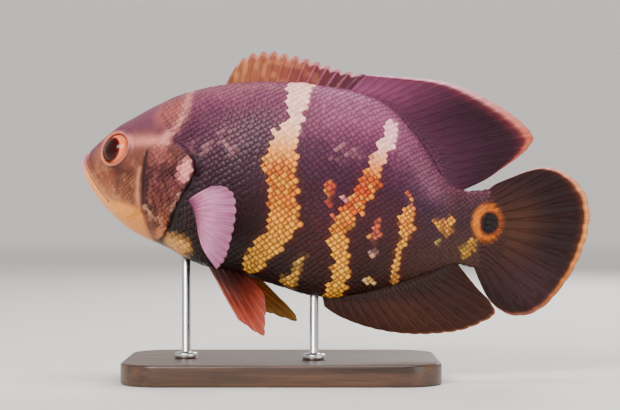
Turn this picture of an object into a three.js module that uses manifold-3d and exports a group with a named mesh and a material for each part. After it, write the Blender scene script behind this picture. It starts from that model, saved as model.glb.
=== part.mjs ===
// A life-size oscar (Astronotus ocellatus), 300 mm long, hovering nose-up on a plain display stand.
// The fish is built straight, in its own millimetres, and is then bent and tilted into its pose:
//   s  distance behind the snout along the spine
//   l  distance to the right of the midline, so the fish's left side has negative l
//   w  height above the axis that joins the snout to the middle of the tail stalk
// The part's frame is in millimetres with +Z up. The head points along -X, the fish's left side faces -Y,
// and the origin is the middle of the base's underside.
import * as THREE from 'three';
import { mergeVertices } from 'three/addons/utils/BufferGeometryUtils.js';
import Module from 'manifold-3d';

const wasm = await Module();
wasm.setup();

// Driving dimensions, in millimetres and degrees

const STANDARD_LENGTH = 238;
const NOSE_UP = 9.2;
const SNOUT_AT = { x: -144, y: 22, z: 122.6 };
const GAP = 0.32;
const CUT = 0.4;

// Heading of the spine: positive turns the head away to the right side
const BEND = [[0, 26], [40, 23], [80, 14], [120, 5], [160, 0], [200, -5], [238, -9], [300, -14]];

// Outline of the flesh seen from the side, without fins
const BACK = [
  [0, 3], [1.5, 6.5], [4, 10.5], [8, 14.5], [14, 20.5], [21, 26], [29, 31.8], [38, 38.2], [48, 44.4],
  [60, 50.3], [75, 56], [92, 60.6], [110, 63.4], [130, 65], [148, 65], [160, 63.6], [170, 60.6],
  [179, 55.4], [189, 47.4], [199, 37.4], [208, 27.6], [216, 21.4], [224, 19.6], [232, 20.6], [238, 22],
];
const BELLY = [
  [0, -3.4], [1.5, -7.2], [5.5, -12.8], [13, -19.6], [21, -25.4], [31, -31.2], [41, -35.2], [51, -37.6],
  [61, -39.8], [72, -43], [84, -45.8], [97, -47.2], [112, -48.2], [130, -50.6], [146, -52.6], [158, -52.2],
  [170, -48.8], [182, -44], [195, -38], [208, -31.2], [220, -24.6], [229, -21.8], [238, -22.4],
];
const HALF_WIDTH = [
  [0, 4.6], [1.5, 6.6], [5, 9.2], [10, 11.8], [17, 14.8], [27, 18], [40, 20.8], [55, 23], [72, 24.2],
  [92, 24], [112, 22.8], [132, 20.8], [152, 18], [172, 14.6], [192, 11], [210, 8], [224, 5.6], [234, 3.2],
  [238, 1.5],
];
// Height of the widest level
const FLANK = [[0, -0.5], [15, 1], [40, 3], [70, 2], [110, 0], [160, 1], [200, 0], [238, 0]];
// Powers of the cosine that shape each half of a cross-section: under 1 is boxy, over 1 is ridged
const BACK_POWER = [[0, 0.8], [25, 0.82], [50, 0.95], [90, 1.12], [150, 1.2], [200, 1.1], [238, 0.9]];
const BELLY_POWER = [[0, 0.85], [20, 1.05], [50, 0.95], [90, 0.75], [130, 0.85], [170, 1.15], [238, 0.9]];

const EYE = { s: 27, w: 11.5, long: 10.6, tall: 9.8, depth: 8.4, bulge: 3.6 };
const ORBIT = { long: 1.1, tall: 1.02, radius: 9.7, thick: 1.3, lift: -0.4 };
const NOSTRIL = { s: 11, w: 12.5, radius: 1.3, thick: 0.55, pit: 0.9, pitDepth: 1.6 };

// The closed mouth, from the tip back to the corner, and the back edge of the lower jaw
const MOUTH = [[-0.5, 3.4], [1.6, 2.6], [5, -0.9], [9, -4.8], [16.2, -11.8], [22.6, -17.2], [26.4, -20]];
const JAW_BACK = [[30, -21.4], [36, -23], [41.5, -27.6], [45, -34.5], [46.5, -46]];
const LIP = { radius: 2.3, cornerRadius: 0.7, rise: 2.1, sink: 0.9, front: { upper: 0.9, lower: 0.5 } };

// The gill cover, seen from the side, from its top front corner round by its lower edge
const GILL_COVER = [
  [50.5, 16.5], [48.6, 7], [49.4, -9], [50, -22], [52.4, -31], [57.6, -35.6], [63.4, -32.6], [67, -24],
  [68.8, -16], [71.8, -8], [75.4, 0], [76.4, 7.5], [72.6, 14.4], [65, 19], [57, 20],
];
const GILL_POINTS = 28;
const GILL_RINGS = [0.4, 0.72, 0.92, 1];
const GILL_CENTRE = [61, -6];
const GILL_PLATE = { inner: 2.6, frontRise: 0.35, backRise: 1.7, backFrom: 56, backTo: 74 };

const NECK_CUT = { top: [54, 60], bottom: [63.5, -60] };
const STALK_CUT = 205;

// Fins: each ray runs from a point of the root line to a point of the edge line
const DORSAL_SPINES = 13;
const DORSAL_SOFT_RAYS = 20;
const DORSAL_SPINY_SPAN = [79, 148.5];
const DORSAL_SOFT_SPAN = [149.1, 219];
const SPINY_EDGE = [
  [82.5, 65.5], [86, 72], [91, 76.2], [97, 78.6], [104, 80], [112, 79.6], [121, 79], [131, 77.6],
  [141, 76], [151, 75.2], [158, 75],
];
const SOFT_EDGE = [
  [158.7, 75], [172, 76.2], [184, 77.4], [196, 78.2], [208, 77.6], [220, 75], [232, 71.2], [244, 66.4],
  [253, 61.2], [258.6, 55.6], [257, 50], [251.6, 43], [243.6, 35.4], [236.4, 28.6], [231, 24.6],
];
const CAUDAL_RAYS = 16;
const CAUDAL_EDGE = [
  [240, 25.6], [250, 31.8], [260, 37.6], [269, 40.4], [279, 39.4], [288, 35], [295, 28.2], [299, 18.8],
  [300, 8.4], [298.6, -3.4], [295.4, -15], [290.2, -26], [283.4, -36.4], [275.4, -43.2], [265.6, -46.2],
  [256.4, -44.6], [247.4, -38.6], [240, -29],
];
const ANAL_SPINES = 3;
const ANAL_SOFT_RAYS = 16;
const ANAL_SPAN = [152.5, 224.5];
const ANAL_EDGE = [
  [155.6, -57.6], [162, -60.8], [171, -63.4], [183, -65.4], [196, -66], [210, -65], [224, -62.2],
  [236, -58.4], [246, -52.6], [252.6, -46.6], [248.8, -40.4], [240.6, -34.4], [233, -28], [228, -23.6],
];
const MEMBRANE = 0.56;
const FIN_ROOT_SINK = 3.2;

const PECTORAL_RAYS = 13;
const PECTORAL_ROOT = [[76, -11.5], [79.6, -17.2], [83, -23.6]];
const PECTORAL_TIPS = [
  [92.5, 45, -1], [100.1, 53, -0.1], [105.4, 58, -3.4], [107.9, 61, -11], [108.3, 61, -19.8],
  [107.6, 59.6, -28.5], [106.6, 56.5, -35], [104.6, 52, -40.5], [101.5, 47, -44.5],
];
const PELVIC_RAYS = 6;
const PELVIC_ROOT = { front: [85.5, 7], back: [105, 5] };
const PELVIC_TIPS = {
  left: [[111, 14, -72], [126, 17, -78], [125.5, 15, -70], [124.5, 12.5, -62.5], [122, 9, -56]],
  right: [[120, 13, -66.5], [142, 15, -69], [137, 13.5, -63], [130, 11.5, -58], [124, 9, -54]],
};

const BASE = { length: 178, width: 104, thick: 12, corner: 22, bevel: 1.6, x: -30, y: 0 };
const ROD = { radius: 2.5, collarRadius: 6.5, collarHeight: 3.5, sides: 20 };
const ROD_AT = [73, 149];

const COLOURS = {
  skin: { color: 0x3a2233, roughness: 0.42, metalness: 0 },
  face: { color: 0x8a5f52, roughness: 0.4, metalness: 0 },
  jaw: { color: 0xd9b083, roughness: 0.4, metalness: 0 },
  iris: { color: 0xe2906a, roughness: 0.15, metalness: 0 },
  fin: { color: 0x3b1c24, roughness: 0.5, metalness: 0 },
  paddle: { color: 0xb28bb4, roughness: 0.5, metalness: 0 },
  pelvic: { color: 0x8a3a24, roughness: 0.5, metalness: 0 },
  wood: { color: 0x3b2418, roughness: 0.45, metalness: 0 },
  steel: { color: 0xb8babd, roughness: 0.3, metalness: 1 },
};

// Numbers along a line: a monotone cubic through control points, held flat past its ends

function smoothThrough(points) {
  const x = points.map((p) => p[0]);
  const y = points.map((p) => p[1]);
  const last = x.length - 1;
  const slope = x.slice(1).map((v, i) => (y[i + 1] - y[i]) / (v - x[i]));
  const tangent = x.map((v, i) => {
    if (i === 0) return slope[0];
    if (i === last) return slope[last - 1];
    const [a, b] = [slope[i - 1], slope[i]];
    return a * b <= 0 ? 0 : (2 * a * b) / (a + b);
  });
  return (v) => {
    if (v <= x[0]) return y[0];
    if (v >= x[last]) return y[last];
    const i = x.findIndex((next, j) => j > 0 && v <= next) - 1;
    const span = x[i + 1] - x[i];
    const t = (v - x[i]) / span;
    const [t2, t3] = [t * t, t * t * t];
    return (
      (2 * t3 - 3 * t2 + 1) * y[i] +
      (t3 - 2 * t2 + t) * span * tangent[i] +
      (3 * t2 - 2 * t3) * y[i + 1] +
      (t3 - t2) * span * tangent[i + 1]
    );
  };
}

// A point at share t of the length of a line through 2-D or 3-D points
function alongLine(points) {
  const curve = new THREE.CatmullRomCurve3(
    points.map(([a, b, c = 0]) => new THREE.Vector3(a, b, c)),
    false,
    'centripetal',
  );
  curve.arcLengthDivisions = 400;
  return (t) => curve.getPointAt(Math.min(1, Math.max(0, t)));
}

const mix = (a, b, t) => a + (b - a) * t;
const clamp01 = (t) => Math.min(1, Math.max(0, t));
const ease = (t) => clamp01(t) ** 2 * (3 - 2 * clamp01(t));

// The pose: the straight fish's points are carried along the bent spine and tipped nose-up

const heading = smoothThrough(BEND);
const SPINE_STEP = 1;
const SPINE_FROM = -20;
const SPINE_TO = 330;
const spine = [{ x: 0, y: 0 }];
for (let s = SPINE_FROM; s < SPINE_TO; s += SPINE_STEP) {
  const turn = THREE.MathUtils.degToRad(heading(s + SPINE_STEP / 2));
  const before = spine[spine.length - 1];
  spine.push({ x: before.x + Math.cos(turn) * SPINE_STEP, y: before.y - Math.sin(turn) * SPINE_STEP });
}
const spineAt = (s) => {
  const place = (s - SPINE_FROM) / SPINE_STEP;
  const i = Math.min(spine.length - 2, Math.max(0, Math.floor(place)));
  const t = place - i;
  return { x: mix(spine[i].x, spine[i + 1].x, t), y: mix(spine[i].y, spine[i + 1].y, t) };
};
const snoutOfSpine = spineAt(0);

function pose(s, l, w) {
  const turn = THREE.MathUtils.degToRad(heading(s));
  const tip = THREE.MathUtils.degToRad(NOSE_UP);
  const at = spineAt(s);
  const along = at.x - snoutOfSpine.x + l * Math.sin(turn);
  const across = at.y - snoutOfSpine.y + l * Math.cos(turn);
  return new THREE.Vector3(
    SNOUT_AT.x + along * Math.cos(tip) + w * Math.sin(tip),
    SNOUT_AT.y + across,
    SNOUT_AT.z - along * Math.sin(tip) + w * Math.cos(tip),
  );
}

// The flesh: rings of points round the spine

const back = smoothThrough(BACK);
const belly = smoothThrough(BELLY);
const halfWidth = smoothThrough(HALF_WIDTH);
const flank = smoothThrough(FLANK);
const backPower = smoothThrough(BACK_POWER);
const bellyPower = smoothThrough(BELLY_POWER);

// A point of the skin at station s and angle a, counted from the fish's right side over its back
function skinAt(s, a) {
  const [c, v] = [Math.cos(a), Math.sin(a)];
  const power = v > 0 ? backPower(s) : bellyPower(s);
  const reach = v > 0 ? back(s) - flank(s) : flank(s) - belly(s);
  return new THREE.Vector3(s, Math.sign(c) * Math.abs(c) ** power * halfWidth(s), flank(s) + v * reach);
}

function skinNormal(s, a) {
  const ds = 0.4;
  const da = 0.02;
  const along = skinAt(s + ds, a).sub(skinAt(s - ds, a));
  const round = skinAt(s, a + da).sub(skinAt(s, a - da));
  return round.cross(along).normalize();
}

const skinOut = (s, a, out) => skinAt(s, a).addScaledVector(skinNormal(s, a), out);

// The angle at which the skin at station s has height w, on the right side (side 1) or the left (side -1)
function angleAt(s, w, side) {
  const reach = w > flank(s) ? back(s) - flank(s) : flank(s) - belly(s);
  const v = Math.min(0.985, Math.max(-0.985, (w - flank(s)) / reach));
  return side > 0 ? Math.asin(v) : Math.PI - Math.asin(v);
}

// Meshes and solids

function geometryFrom(points, faces) {
  const geometry = new THREE.BufferGeometry();
  const numbers = points.flatMap((p) => [p.x, p.y, p.z]);
  geometry.setAttribute('position', new THREE.Float32BufferAttribute(numbers, 3));
  geometry.setIndex(faces.flat());
  return geometry;
}

function solid(geometry) {
  const bare = geometry.clone();
  bare.deleteAttribute('normal');
  bare.deleteAttribute('uv');
  const merged = mergeVertices(bare, 1e-4);
  const triVerts = new Uint32Array(merged.index.array);
  const vertProperties = new Float32Array(merged.attributes.position.array);
  const made = new wasm.Manifold(new wasm.Mesh({ numProp: 3, vertProperties, triVerts }));
  if (made.volume() >= 0) return made;
  for (let i = 0; i < triVerts.length; i += 3) {
    [triVerts[i + 1], triVerts[i + 2]] = [triVerts[i + 2], triVerts[i + 1]];
  }
  return new wasm.Manifold(new wasm.Mesh({ numProp: 3, vertProperties, triVerts }));
}

const largest = (made) => made.decompose().sort((a, b) => b.volume() - a.volume())[0];

// Rings of equal length joined into a tube, closed by a point at each end
function closedTube(rings, firstCap, lastCap) {
  const count = rings[0].length;
  const points = rings.flat();
  const faces = [];
  rings.slice(1).forEach((ring, i) => {
    for (let j = 0; j < count; j += 1) {
      const k = (j + 1) % count;
      const [a, b] = [i * count + j, i * count + k];
      const [c, d] = [a + count, b + count];
      faces.push([a, c, b], [b, c, d]);
    }
  });
  const first = points.push(firstCap) - 1;
  const last = points.push(lastCap) - 1;
  const lastRing = (rings.length - 1) * count;
  for (let j = 0; j < count; j += 1) {
    const k = (j + 1) % count;
    faces.push([first, j, k], [last, lastRing + k, lastRing + j]);
  }
  return geometryFrom(points, faces);
}

const STATIONS = [
  0, 0.7, 1.7, 3.2, 5.2, 7.7, 10.6, 14, 17.8, 22, 26.5, 31, 36, 41, 46, 51, 56, 61, 66, 71.5, 77.5, 84, 91,
  99, 107, 115, 123, 131, 139, 147, 155, 163, 170.5, 178, 185, 192, 199, 206, 212, 218, 224, 229.5, 234, 238,
];
const RING_POINTS = 28;

function fleshSolid(out) {
  const rings = STATIONS.map((s) =>
    Array.from({ length: RING_POINTS }, (_, j) => skinOut(s, ((j + 0.5) / RING_POINTS) * 2 * Math.PI, out)),
  );
  rings[rings.length - 1].forEach((p) => (p.x += out));
  const front = new THREE.Vector3(-0.9 - out, 0, 0);
  const rear = new THREE.Vector3(STANDARD_LENGTH + 0.4 + out, 0, 0);
  return solid(closedTube(rings, front, rear));
}

// A flat band in the side view, thick enough to part the flesh, reaching past both sides of the fish
function partingSheet(line, thick, halfReach) {
  const upper = [];
  const lower = [];
  line.forEach(([s, w], i) => {
    const before = line[Math.max(0, i - 1)];
    const after = line[Math.min(line.length - 1, i + 1)];
    const along = new THREE.Vector2(after[0] - before[0], after[1] - before[1]).normalize();
    upper.push(new THREE.Vector2(s - (along.y * thick) / 2, w + (along.x * thick) / 2));
    lower.unshift(new THREE.Vector2(s + (along.y * thick) / 2, w - (along.x * thick) / 2));
  });
  const band = new THREE.ExtrudeGeometry(new THREE.Shape([...upper, ...lower]), {
    depth: halfReach * 2,
    bevelEnabled: false,
  });
  band.translate(0, 0, -halfReach);
  band.applyMatrix4(new THREE.Matrix4().makeBasis(
    new THREE.Vector3(1, 0, 0),
    new THREE.Vector3(0, 0, 1),
    new THREE.Vector3(0, -1, 0),
  ));
  return solid(band);
}

// A fin: a thin sheet with a ridge along each ray. column(t) gives the root and tip of the line at share t
// of the fin, and rays sit in the middle of each of its equal strips.
function finSheet({ rays, rows, column, rayThick, tipThick, notch = 0, bow = () => 0 }) {
  const columns = rays * 2 + 1;
  const grid = [];
  for (let j = 0; j < columns; j += 1) {
    const onRay = j % 2 === 1;
    const t = j / (columns - 1);
    const { root, tip } = column(t);
    const reach = onRay || j === 0 || j === columns - 1 ? 1 : 1 - notch;
    const rootThick = onRay ? rayThick : MEMBRANE;
    const edgeThick = Math.min(rootThick, tipThick);
    grid.push(
      Array.from({ length: rows + 1 }, (_, i) => {
        const v = (i / rows) * reach;
        return { at: root.clone().lerp(tip, v), half: mix(rootThick, edgeThick, i / rows) / 2, t, v };
      }),
    );
  }
  const normalAt = (j, i) => {
    const left = grid[Math.max(0, j - 1)][i].at;
    const right = grid[Math.min(columns - 1, j + 1)][i].at;
    const low = grid[j][Math.max(0, i - 1)].at;
    const high = grid[j][Math.min(rows, i + 1)].at;
    return right.clone().sub(left).cross(high.clone().sub(low)).normalize();
  };
  const faces = [];
  const points = [];
  const index = (j, i, side) => (j * (rows + 1) + i) * 2 + side;
  grid.forEach((line, j) =>
    line.forEach((cell, i) => {
      const normal = normalAt(j, i);
      const middle = cell.at.clone().addScaledVector(normal, bow(cell.t, cell.v));
      points.push(middle.clone().addScaledVector(normal, cell.half));
      points.push(middle.clone().addScaledVector(normal, -cell.half));
    }),
  );
  for (let j = 0; j < columns - 1; j += 1) {
    for (let i = 0; i < rows; i += 1) {
      const [a, b, c, d] = [[j, i], [j + 1, i], [j + 1, i + 1], [j, i + 1]];
      [[a, b, c], [a, c, d]].forEach(([p, q, r]) => {
        faces.push([index(...p, 0), index(...q, 0), index(...r, 0)]);
        faces.push([index(...p, 1), index(...r, 1), index(...q, 1)]);
      });
    }
  }
  const rim = [];
  for (let j = 0; j < columns - 1; j += 1) rim.push([j, 0]);
  for (let i = 0; i < rows; i += 1) rim.push([columns - 1, i]);
  for (let j = columns - 1; j > 0; j -= 1) rim.push([j, rows]);
  for (let i = rows; i > 0; i -= 1) rim.push([0, i]);
  rim.forEach((from, n) => {
    const to = rim[(n + 1) % rim.length];
    faces.push([index(...from, 0), index(...from, 1), index(...to, 1)]);
    faces.push([index(...from, 0), index(...to, 1), index(...to, 0)]);
  });
  return solid(geometryFrom(points, faces));
}

// The parts, still straight

const flesh = fleshSolid(0);
const fleshPlus = fleshSolid(GAP);

function eyeball(side, out) {
  const a = angleAt(EYE.s, EYE.w, side);
  const facing = skinNormal(EYE.s, a);
  const ball = new THREE.SphereGeometry(1, 20, 12);
  ball.rotateX(Math.PI / 2);
  ball.scale(EYE.long + out, EYE.tall + out, EYE.depth + out);
  ball.applyQuaternion(new THREE.Quaternion().setFromUnitVectors(new THREE.Vector3(0, 0, 1), facing));
  const centre = skinAt(EYE.s, a).addScaledVector(facing, EYE.bulge - EYE.depth);
  ball.translate(centre.x, centre.y, centre.z);
  return solid(ball);
}

// A ring lying on the skin, round the eye or the nostril
function ringOnSkin(s, w, side, { radius, thick, long = 1, tall = 1, lift = 0 }, sides, around) {
  const a = angleAt(s, w, side);
  const out = skinNormal(s, a);
  const ring = new THREE.TorusGeometry(radius, thick, sides, around);
  ring.scale(long, tall, 1);
  ring.applyQuaternion(new THREE.Quaternion().setFromUnitVectors(new THREE.Vector3(0, 0, 1), out));
  const at = skinAt(s, a).addScaledVector(out, lift);
  ring.translate(at.x, at.y, at.z);
  return solid(ring);
}

function nostrilPit(side) {
  const a = angleAt(NOSTRIL.s, NOSTRIL.w, side);
  const pit = new THREE.CylinderGeometry(NOSTRIL.pit, NOSTRIL.pit * 0.5, NOSTRIL.pitDepth * 2, 8);
  pit.applyQuaternion(
    new THREE.Quaternion().setFromUnitVectors(new THREE.Vector3(0, 1, 0), skinNormal(NOSTRIL.s, a)),
  );
  const at = skinAt(NOSTRIL.s, a);
  pit.translate(at.x, at.y, at.z);
  return solid(pit);
}

// A lip: a tapered tube round the front of the mouth, from corner to corner. above is 1 or -1.
function lip(above) {
  const line = alongLine(MOUTH);
  const steps = 24;
  const sides = 8;
  const rise = above * LIP.rise;
  const front = above > 0 ? LIP.front.upper : LIP.front.lower;
  const centre = (k) => {
    const share = Math.abs((k / steps) * 2 - 1);
    const side = k < steps / 2 ? -1 : 1;
    const m = line(0.04 + 0.96 * share);
    const turned = ease(share / 0.3);
    const s = mix(front, m.x + rise * 0.68, turned);
    const w = m.y + rise * mix(1, 0.74, turned);
    const surface = Math.abs(skinAt(Math.max(0.4, s), angleAt(Math.max(0.4, s), w, 1)).y);
    const round = Math.sqrt(Math.max(0, 1 - (1 - Math.min(1, share / 0.22)) ** 2));
    return new THREE.Vector3(s, side * Math.max(0, surface - LIP.sink) * round, w);
  };
  const rings = [];
  for (let k = 0; k <= steps; k += 1) {
    const share = Math.abs((k / steps) * 2 - 1);
    const at = centre(k);
    const along = centre(Math.min(steps, k + 1)).sub(centre(Math.max(0, k - 1))).normalize();
    const up = new THREE.Vector3(0.68, 0, 0.74);
    const across = new THREE.Vector3().crossVectors(along, up).normalize();
    const over = new THREE.Vector3().crossVectors(across, along).normalize();
    const radius = mix(LIP.radius, LIP.cornerRadius, ease((share - 0.45) / 0.55));
    rings.push(
      Array.from({ length: sides }, (_, j) => {
        const a = ((j + 0.5) / sides) * 2 * Math.PI;
        const sideways = across.clone().multiplyScalar(Math.cos(a) * radius);
        return at.clone().add(sideways).addScaledVector(over, Math.sin(a) * radius);
      }),
    );
  }
  return solid(closedTube(rings, centre(0), centre(steps)));
}

// The gill cover: a plate let into the side of the head, standing proud along its back edge
function gillPlate(side, out) {
  const outline = new THREE.CatmullRomCurve3(GILL_COVER.map(([s, w]) => new THREE.Vector3(s, w, 0)), true);
  outline.arcLengthDivisions = 400;
  const { inner, frontRise, backRise, backFrom, backTo } = GILL_PLATE;
  const pointAt = (s, w, lift) => skinOut(s, angleAt(s, w, side), lift);
  const rise = (s) => mix(frontRise, backRise, ease((s - backFrom) / (backTo - backFrom)));
  const ring = (share, lift) =>
    Array.from({ length: GILL_POINTS }, (_, j) => {
      const edge = outline.getPointAt(j / GILL_POINTS);
      const away = new THREE.Vector2(edge.x - GILL_CENTRE[0], edge.y - GILL_CENTRE[1]);
      const grown = away.clone().setLength(away.length() * share + (share === 1 ? out : 0));
      const [s, w] = [GILL_CENTRE[0] + grown.x, GILL_CENTRE[1] + grown.y];
      return pointAt(s, w, lift(s));
    });
  const inside = GILL_RINGS.map((share) => ring(share, () => -inner - out));
  const outside = GILL_RINGS.map((share) => ring(share, (s) => rise(s) + (share === 1 ? -0.25 : 0) + out));
  const [cs, cw] = GILL_CENTRE;
  const rings = [...inside, ...outside.reverse()];
  return solid(closedTube(rings, pointAt(cs, cw, -inner - out), pointAt(cs, cw, rise(cs) + out)));
}

// Median fins

const inPlane = (p) => new THREE.Vector3(p.x, 0, p.y);

function medianColumn(span, rootLine, sink, edge) {
  const edgeAt = alongLine(edge);
  return (t) => {
    const s = mix(span[0], span[1], t);
    return { root: new THREE.Vector3(s, 0, rootLine(s) + sink), tip: inPlane(edgeAt(t)) };
  };
}

const wave = (height, turns) => (t, v) => height * v * v * Math.sin(t * Math.PI * turns);

const dorsalSpiny = () =>
  finSheet({
    rays: DORSAL_SPINES,
    rows: 5,
    column: medianColumn(DORSAL_SPINY_SPAN, back, -FIN_ROOT_SINK, SPINY_EDGE),
    rayThick: 1.7,
    tipThick: 0.6,
    notch: 0.2,
  }).subtract(fleshPlus);

const dorsalSoft = () =>
  finSheet({
    rays: DORSAL_SOFT_RAYS,
    rows: 6,
    column: medianColumn(DORSAL_SOFT_SPAN, back, -FIN_ROOT_SINK, SOFT_EDGE),
    rayThick: 1.5,
    tipThick: 0.5,
    notch: 0.012,
    bow: wave(1.6, 1.5),
  }).subtract(fleshPlus);

const analFin = () =>
  finSheet({
    rays: ANAL_SPINES + ANAL_SOFT_RAYS,
    rows: 5,
    column: medianColumn(ANAL_SPAN, belly, FIN_ROOT_SINK, ANAL_EDGE),
    rayThick: 1.5,
    tipThick: 0.5,
    notch: 0.02,
    bow: wave(1.2, 1.5),
  }).subtract(fleshPlus);

function caudalFin() {
  const edgeAt = alongLine(CAUDAL_EDGE);
  const [rootTop, rootLow] = [21, -21.4];
  return finSheet({
    rays: CAUDAL_RAYS,
    rows: 7,
    column: (t) => ({
      root: new THREE.Vector3(STANDARD_LENGTH - 2.5, 0, mix(rootTop, rootLow, t)),
      tip: inPlane(edgeAt(t)),
    }),
    rayThick: 2.4,
    tipThick: 0.5,
    notch: 0.012,
    bow: wave(1.5, 2),
  }).subtract(fleshPlus);
}

// Paired fins

function pectoralFin(side) {
  const rootAt = alongLine(PECTORAL_ROOT);
  const tipAt = alongLine(PECTORAL_TIPS);
  const made = finSheet({
    rays: PECTORAL_RAYS,
    rows: 6,
    column: (t) => {
      const r = rootAt(t);
      const tip = tipAt(t);
      return {
        root: skinOut(r.x, angleAt(r.x, r.y, side), -2.6),
        tip: new THREE.Vector3(tip.x, tip.y * side, tip.z),
      };
    },
    rayThick: 1.6,
    tipThick: 0.5,
    notch: 0.03,
    bow: (t, v) => -2.4 * side * Math.sin(v * Math.PI),
  });
  return made.subtract(fleshPlus).subtract(gillPlate(side, GAP));
}

function pelvicFin(side, tips) {
  const tipAt = alongLine(tips);
  const { front, back: rear } = PELVIC_ROOT;
  const made = finSheet({
    rays: PELVIC_RAYS,
    rows: 7,
    column: (t) => {
      const s = mix(front[0], rear[0], t);
      const l = mix(front[1], rear[1], t);
      const tip = tipAt(t);
      return {
        root: new THREE.Vector3(s, l * side, belly(s) + 4.5),
        tip: new THREE.Vector3(tip.x, tip.y * side, tip.z),
      };
    },
    rayThick: 2,
    tipThick: 0.5,
    notch: 0.03,
    bow: (t, v) => 1.5 * side * Math.sin(v * Math.PI),
  });
  return made.subtract(fleshPlus);
}

// Parting the flesh

function partedFlesh() {
  const reach = 60;
  let whole = flesh;
  [-1, 1].forEach((side) => {
    whole = whole.add(ringOnSkin(EYE.s, EYE.w, side, ORBIT, 6, 22));
    whole = whole.add(ringOnSkin(NOSTRIL.s, NOSTRIL.w, side, NOSTRIL, 5, 10));
  });
  [-1, 1].forEach((side) => {
    whole = whole.subtract(nostrilPit(side)).subtract(eyeball(side, GAP)).subtract(gillPlate(side, GAP));
  });
  whole = whole.add(lip(1)).add(lip(-1));
  const mouthLine = [[-8, 5], ...MOUTH, ...JAW_BACK];
  const mouthCut = partingSheet(mouthLine, CUT, reach);
  const neckCut = partingSheet([NECK_CUT.top, NECK_CUT.bottom], CUT, reach);
  const stalkCut = partingSheet([[STALK_CUT, 60], [STALK_CUT, -60]], CUT, reach);
  const pieces = whole.subtract(mouthCut).subtract(neckCut).subtract(stalkCut).decompose();
  const bigOnes = pieces.sort((a, b) => b.volume() - a.volume()).slice(0, 4);
  const middle = (piece) => {
    const { min, max } = piece.boundingBox();
    return { s: (min[0] + max[0]) / 2, w: (min[2] + max[2]) / 2 };
  };
  const byStation = bigOnes.sort((a, b) => middle(a).s - middle(b).s);
  const [lowerJaw, head, trunk, tailStalk] = byStation;
  return { lowerJaw, head, trunk, tailStalk };
}

// From the straight fish to the posed one

const asPoint = (s, l, w) => new THREE.Vector3(s, l, w);

function geometryOf(made, place = asPoint) {
  const { vertProperties, triVerts, numProp } = made.getMesh();
  const points = [];
  for (let i = 0; i < vertProperties.length; i += numProp) {
    points.push(place(vertProperties[i], vertProperties[i + 1], vertProperties[i + 2]));
  }
  const geometry = geometryFrom(points, [Array.from(triVerts)]);
  geometry.computeVertexNormals();
  return geometry;
}

const posedGeometry = (made) => geometryOf(made, pose);

// The stand

function baseGeometry() {
  const { length, width, thick, corner, bevel } = BASE;
  const [hx, hy] = [length / 2 - bevel, width / 2 - bevel];
  const r = corner - bevel;
  const shape = new THREE.Shape();
  shape.moveTo(-hx + r, -hy);
  shape.lineTo(hx - r, -hy);
  shape.absarc(hx - r, -hy + r, r, -Math.PI / 2, 0, false);
  shape.lineTo(hx, hy - r);
  shape.absarc(hx - r, hy - r, r, 0, Math.PI / 2, false);
  shape.lineTo(-hx + r, hy);
  shape.absarc(-hx + r, hy - r, r, Math.PI / 2, Math.PI, false);
  shape.lineTo(-hx, -hy + r);
  shape.absarc(-hx + r, -hy + r, r, Math.PI, Math.PI * 1.5, false);
  const plate = new THREE.ExtrudeGeometry(shape, {
    depth: thick - bevel * 2,
    bevelThickness: bevel,
    bevelSize: bevel,
    bevelSegments: 1,
    curveSegments: 6,
  });
  plate.translate(0, 0, bevel);
  return plate;
}

// A rod with a collar at its foot, cut to the shape of the belly that it carries
function rodSolid(station, posedFlesh) {
  const top = pose(station, 0, belly(station));
  const reach = top.z + 12;
  const foot = BASE.thick + GAP;
  const { radius, collarRadius, collarHeight, sides } = ROD;
  const profile = [
    [0, foot], [collarRadius, foot], [collarRadius, foot + collarHeight * 0.6],
    [collarRadius - 1.2, foot + collarHeight], [radius, foot + collarHeight], [radius, reach], [0, reach],
  ].map(([r, z]) => new THREE.Vector2(r, z));
  const turned = new THREE.LatheGeometry(profile, sides);
  turned.rotateX(Math.PI / 2);
  turned.translate(top.x, top.y, 0);
  return largest(solid(turned).subtract(posedFlesh));
}

// The model

const oscar = new THREE.Group();

function addNode(name, geometry, finish) {
  const node = new THREE.Mesh(geometry, new THREE.MeshStandardMaterial(finish));
  node.name = name;
  oscar.add(node);
}

const { lowerJaw, head, trunk, tailStalk } = partedFlesh();
addNode('head', posedGeometry(head), COLOURS.face);
addNode('lower_jaw', posedGeometry(lowerJaw), COLOURS.jaw);
addNode('trunk', posedGeometry(trunk), COLOURS.skin);
addNode('tail_stalk', posedGeometry(tailStalk), COLOURS.skin);
[['left', -1], ['right', 1]].forEach(([name, side]) => {
  addNode(`gill_cover_${name}`, posedGeometry(gillPlate(side, 0)), COLOURS.face);
  addNode(`eye_${name}`, posedGeometry(eyeball(side, 0)), COLOURS.iris);
  addNode(`pectoral_fin_${name}`, posedGeometry(largest(pectoralFin(side))), COLOURS.paddle);
  addNode(`pelvic_fin_${name}`, posedGeometry(largest(pelvicFin(side, PELVIC_TIPS[name]))), COLOURS.pelvic);
});
addNode('dorsal_fin_spiny', posedGeometry(largest(dorsalSpiny())), COLOURS.fin);
addNode('dorsal_fin_soft', posedGeometry(largest(dorsalSoft())), COLOURS.fin);
addNode('anal_fin', posedGeometry(largest(analFin())), COLOURS.fin);
addNode('caudal_fin', posedGeometry(largest(caudalFin())), COLOURS.fin);

const posedFlesh = solid(posedGeometry(fleshPlus));
const plate = baseGeometry();
plate.translate(BASE.x, BASE.y, 0);
addNode('stand_base', plate, COLOURS.wood);
ROD_AT.forEach((station, i) =>
  addNode(`stand_rod_${['front', 'rear'][i]}`, geometryOf(rodSolid(station, posedFlesh)), COLOURS.steel),
);

export default oscar;
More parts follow.
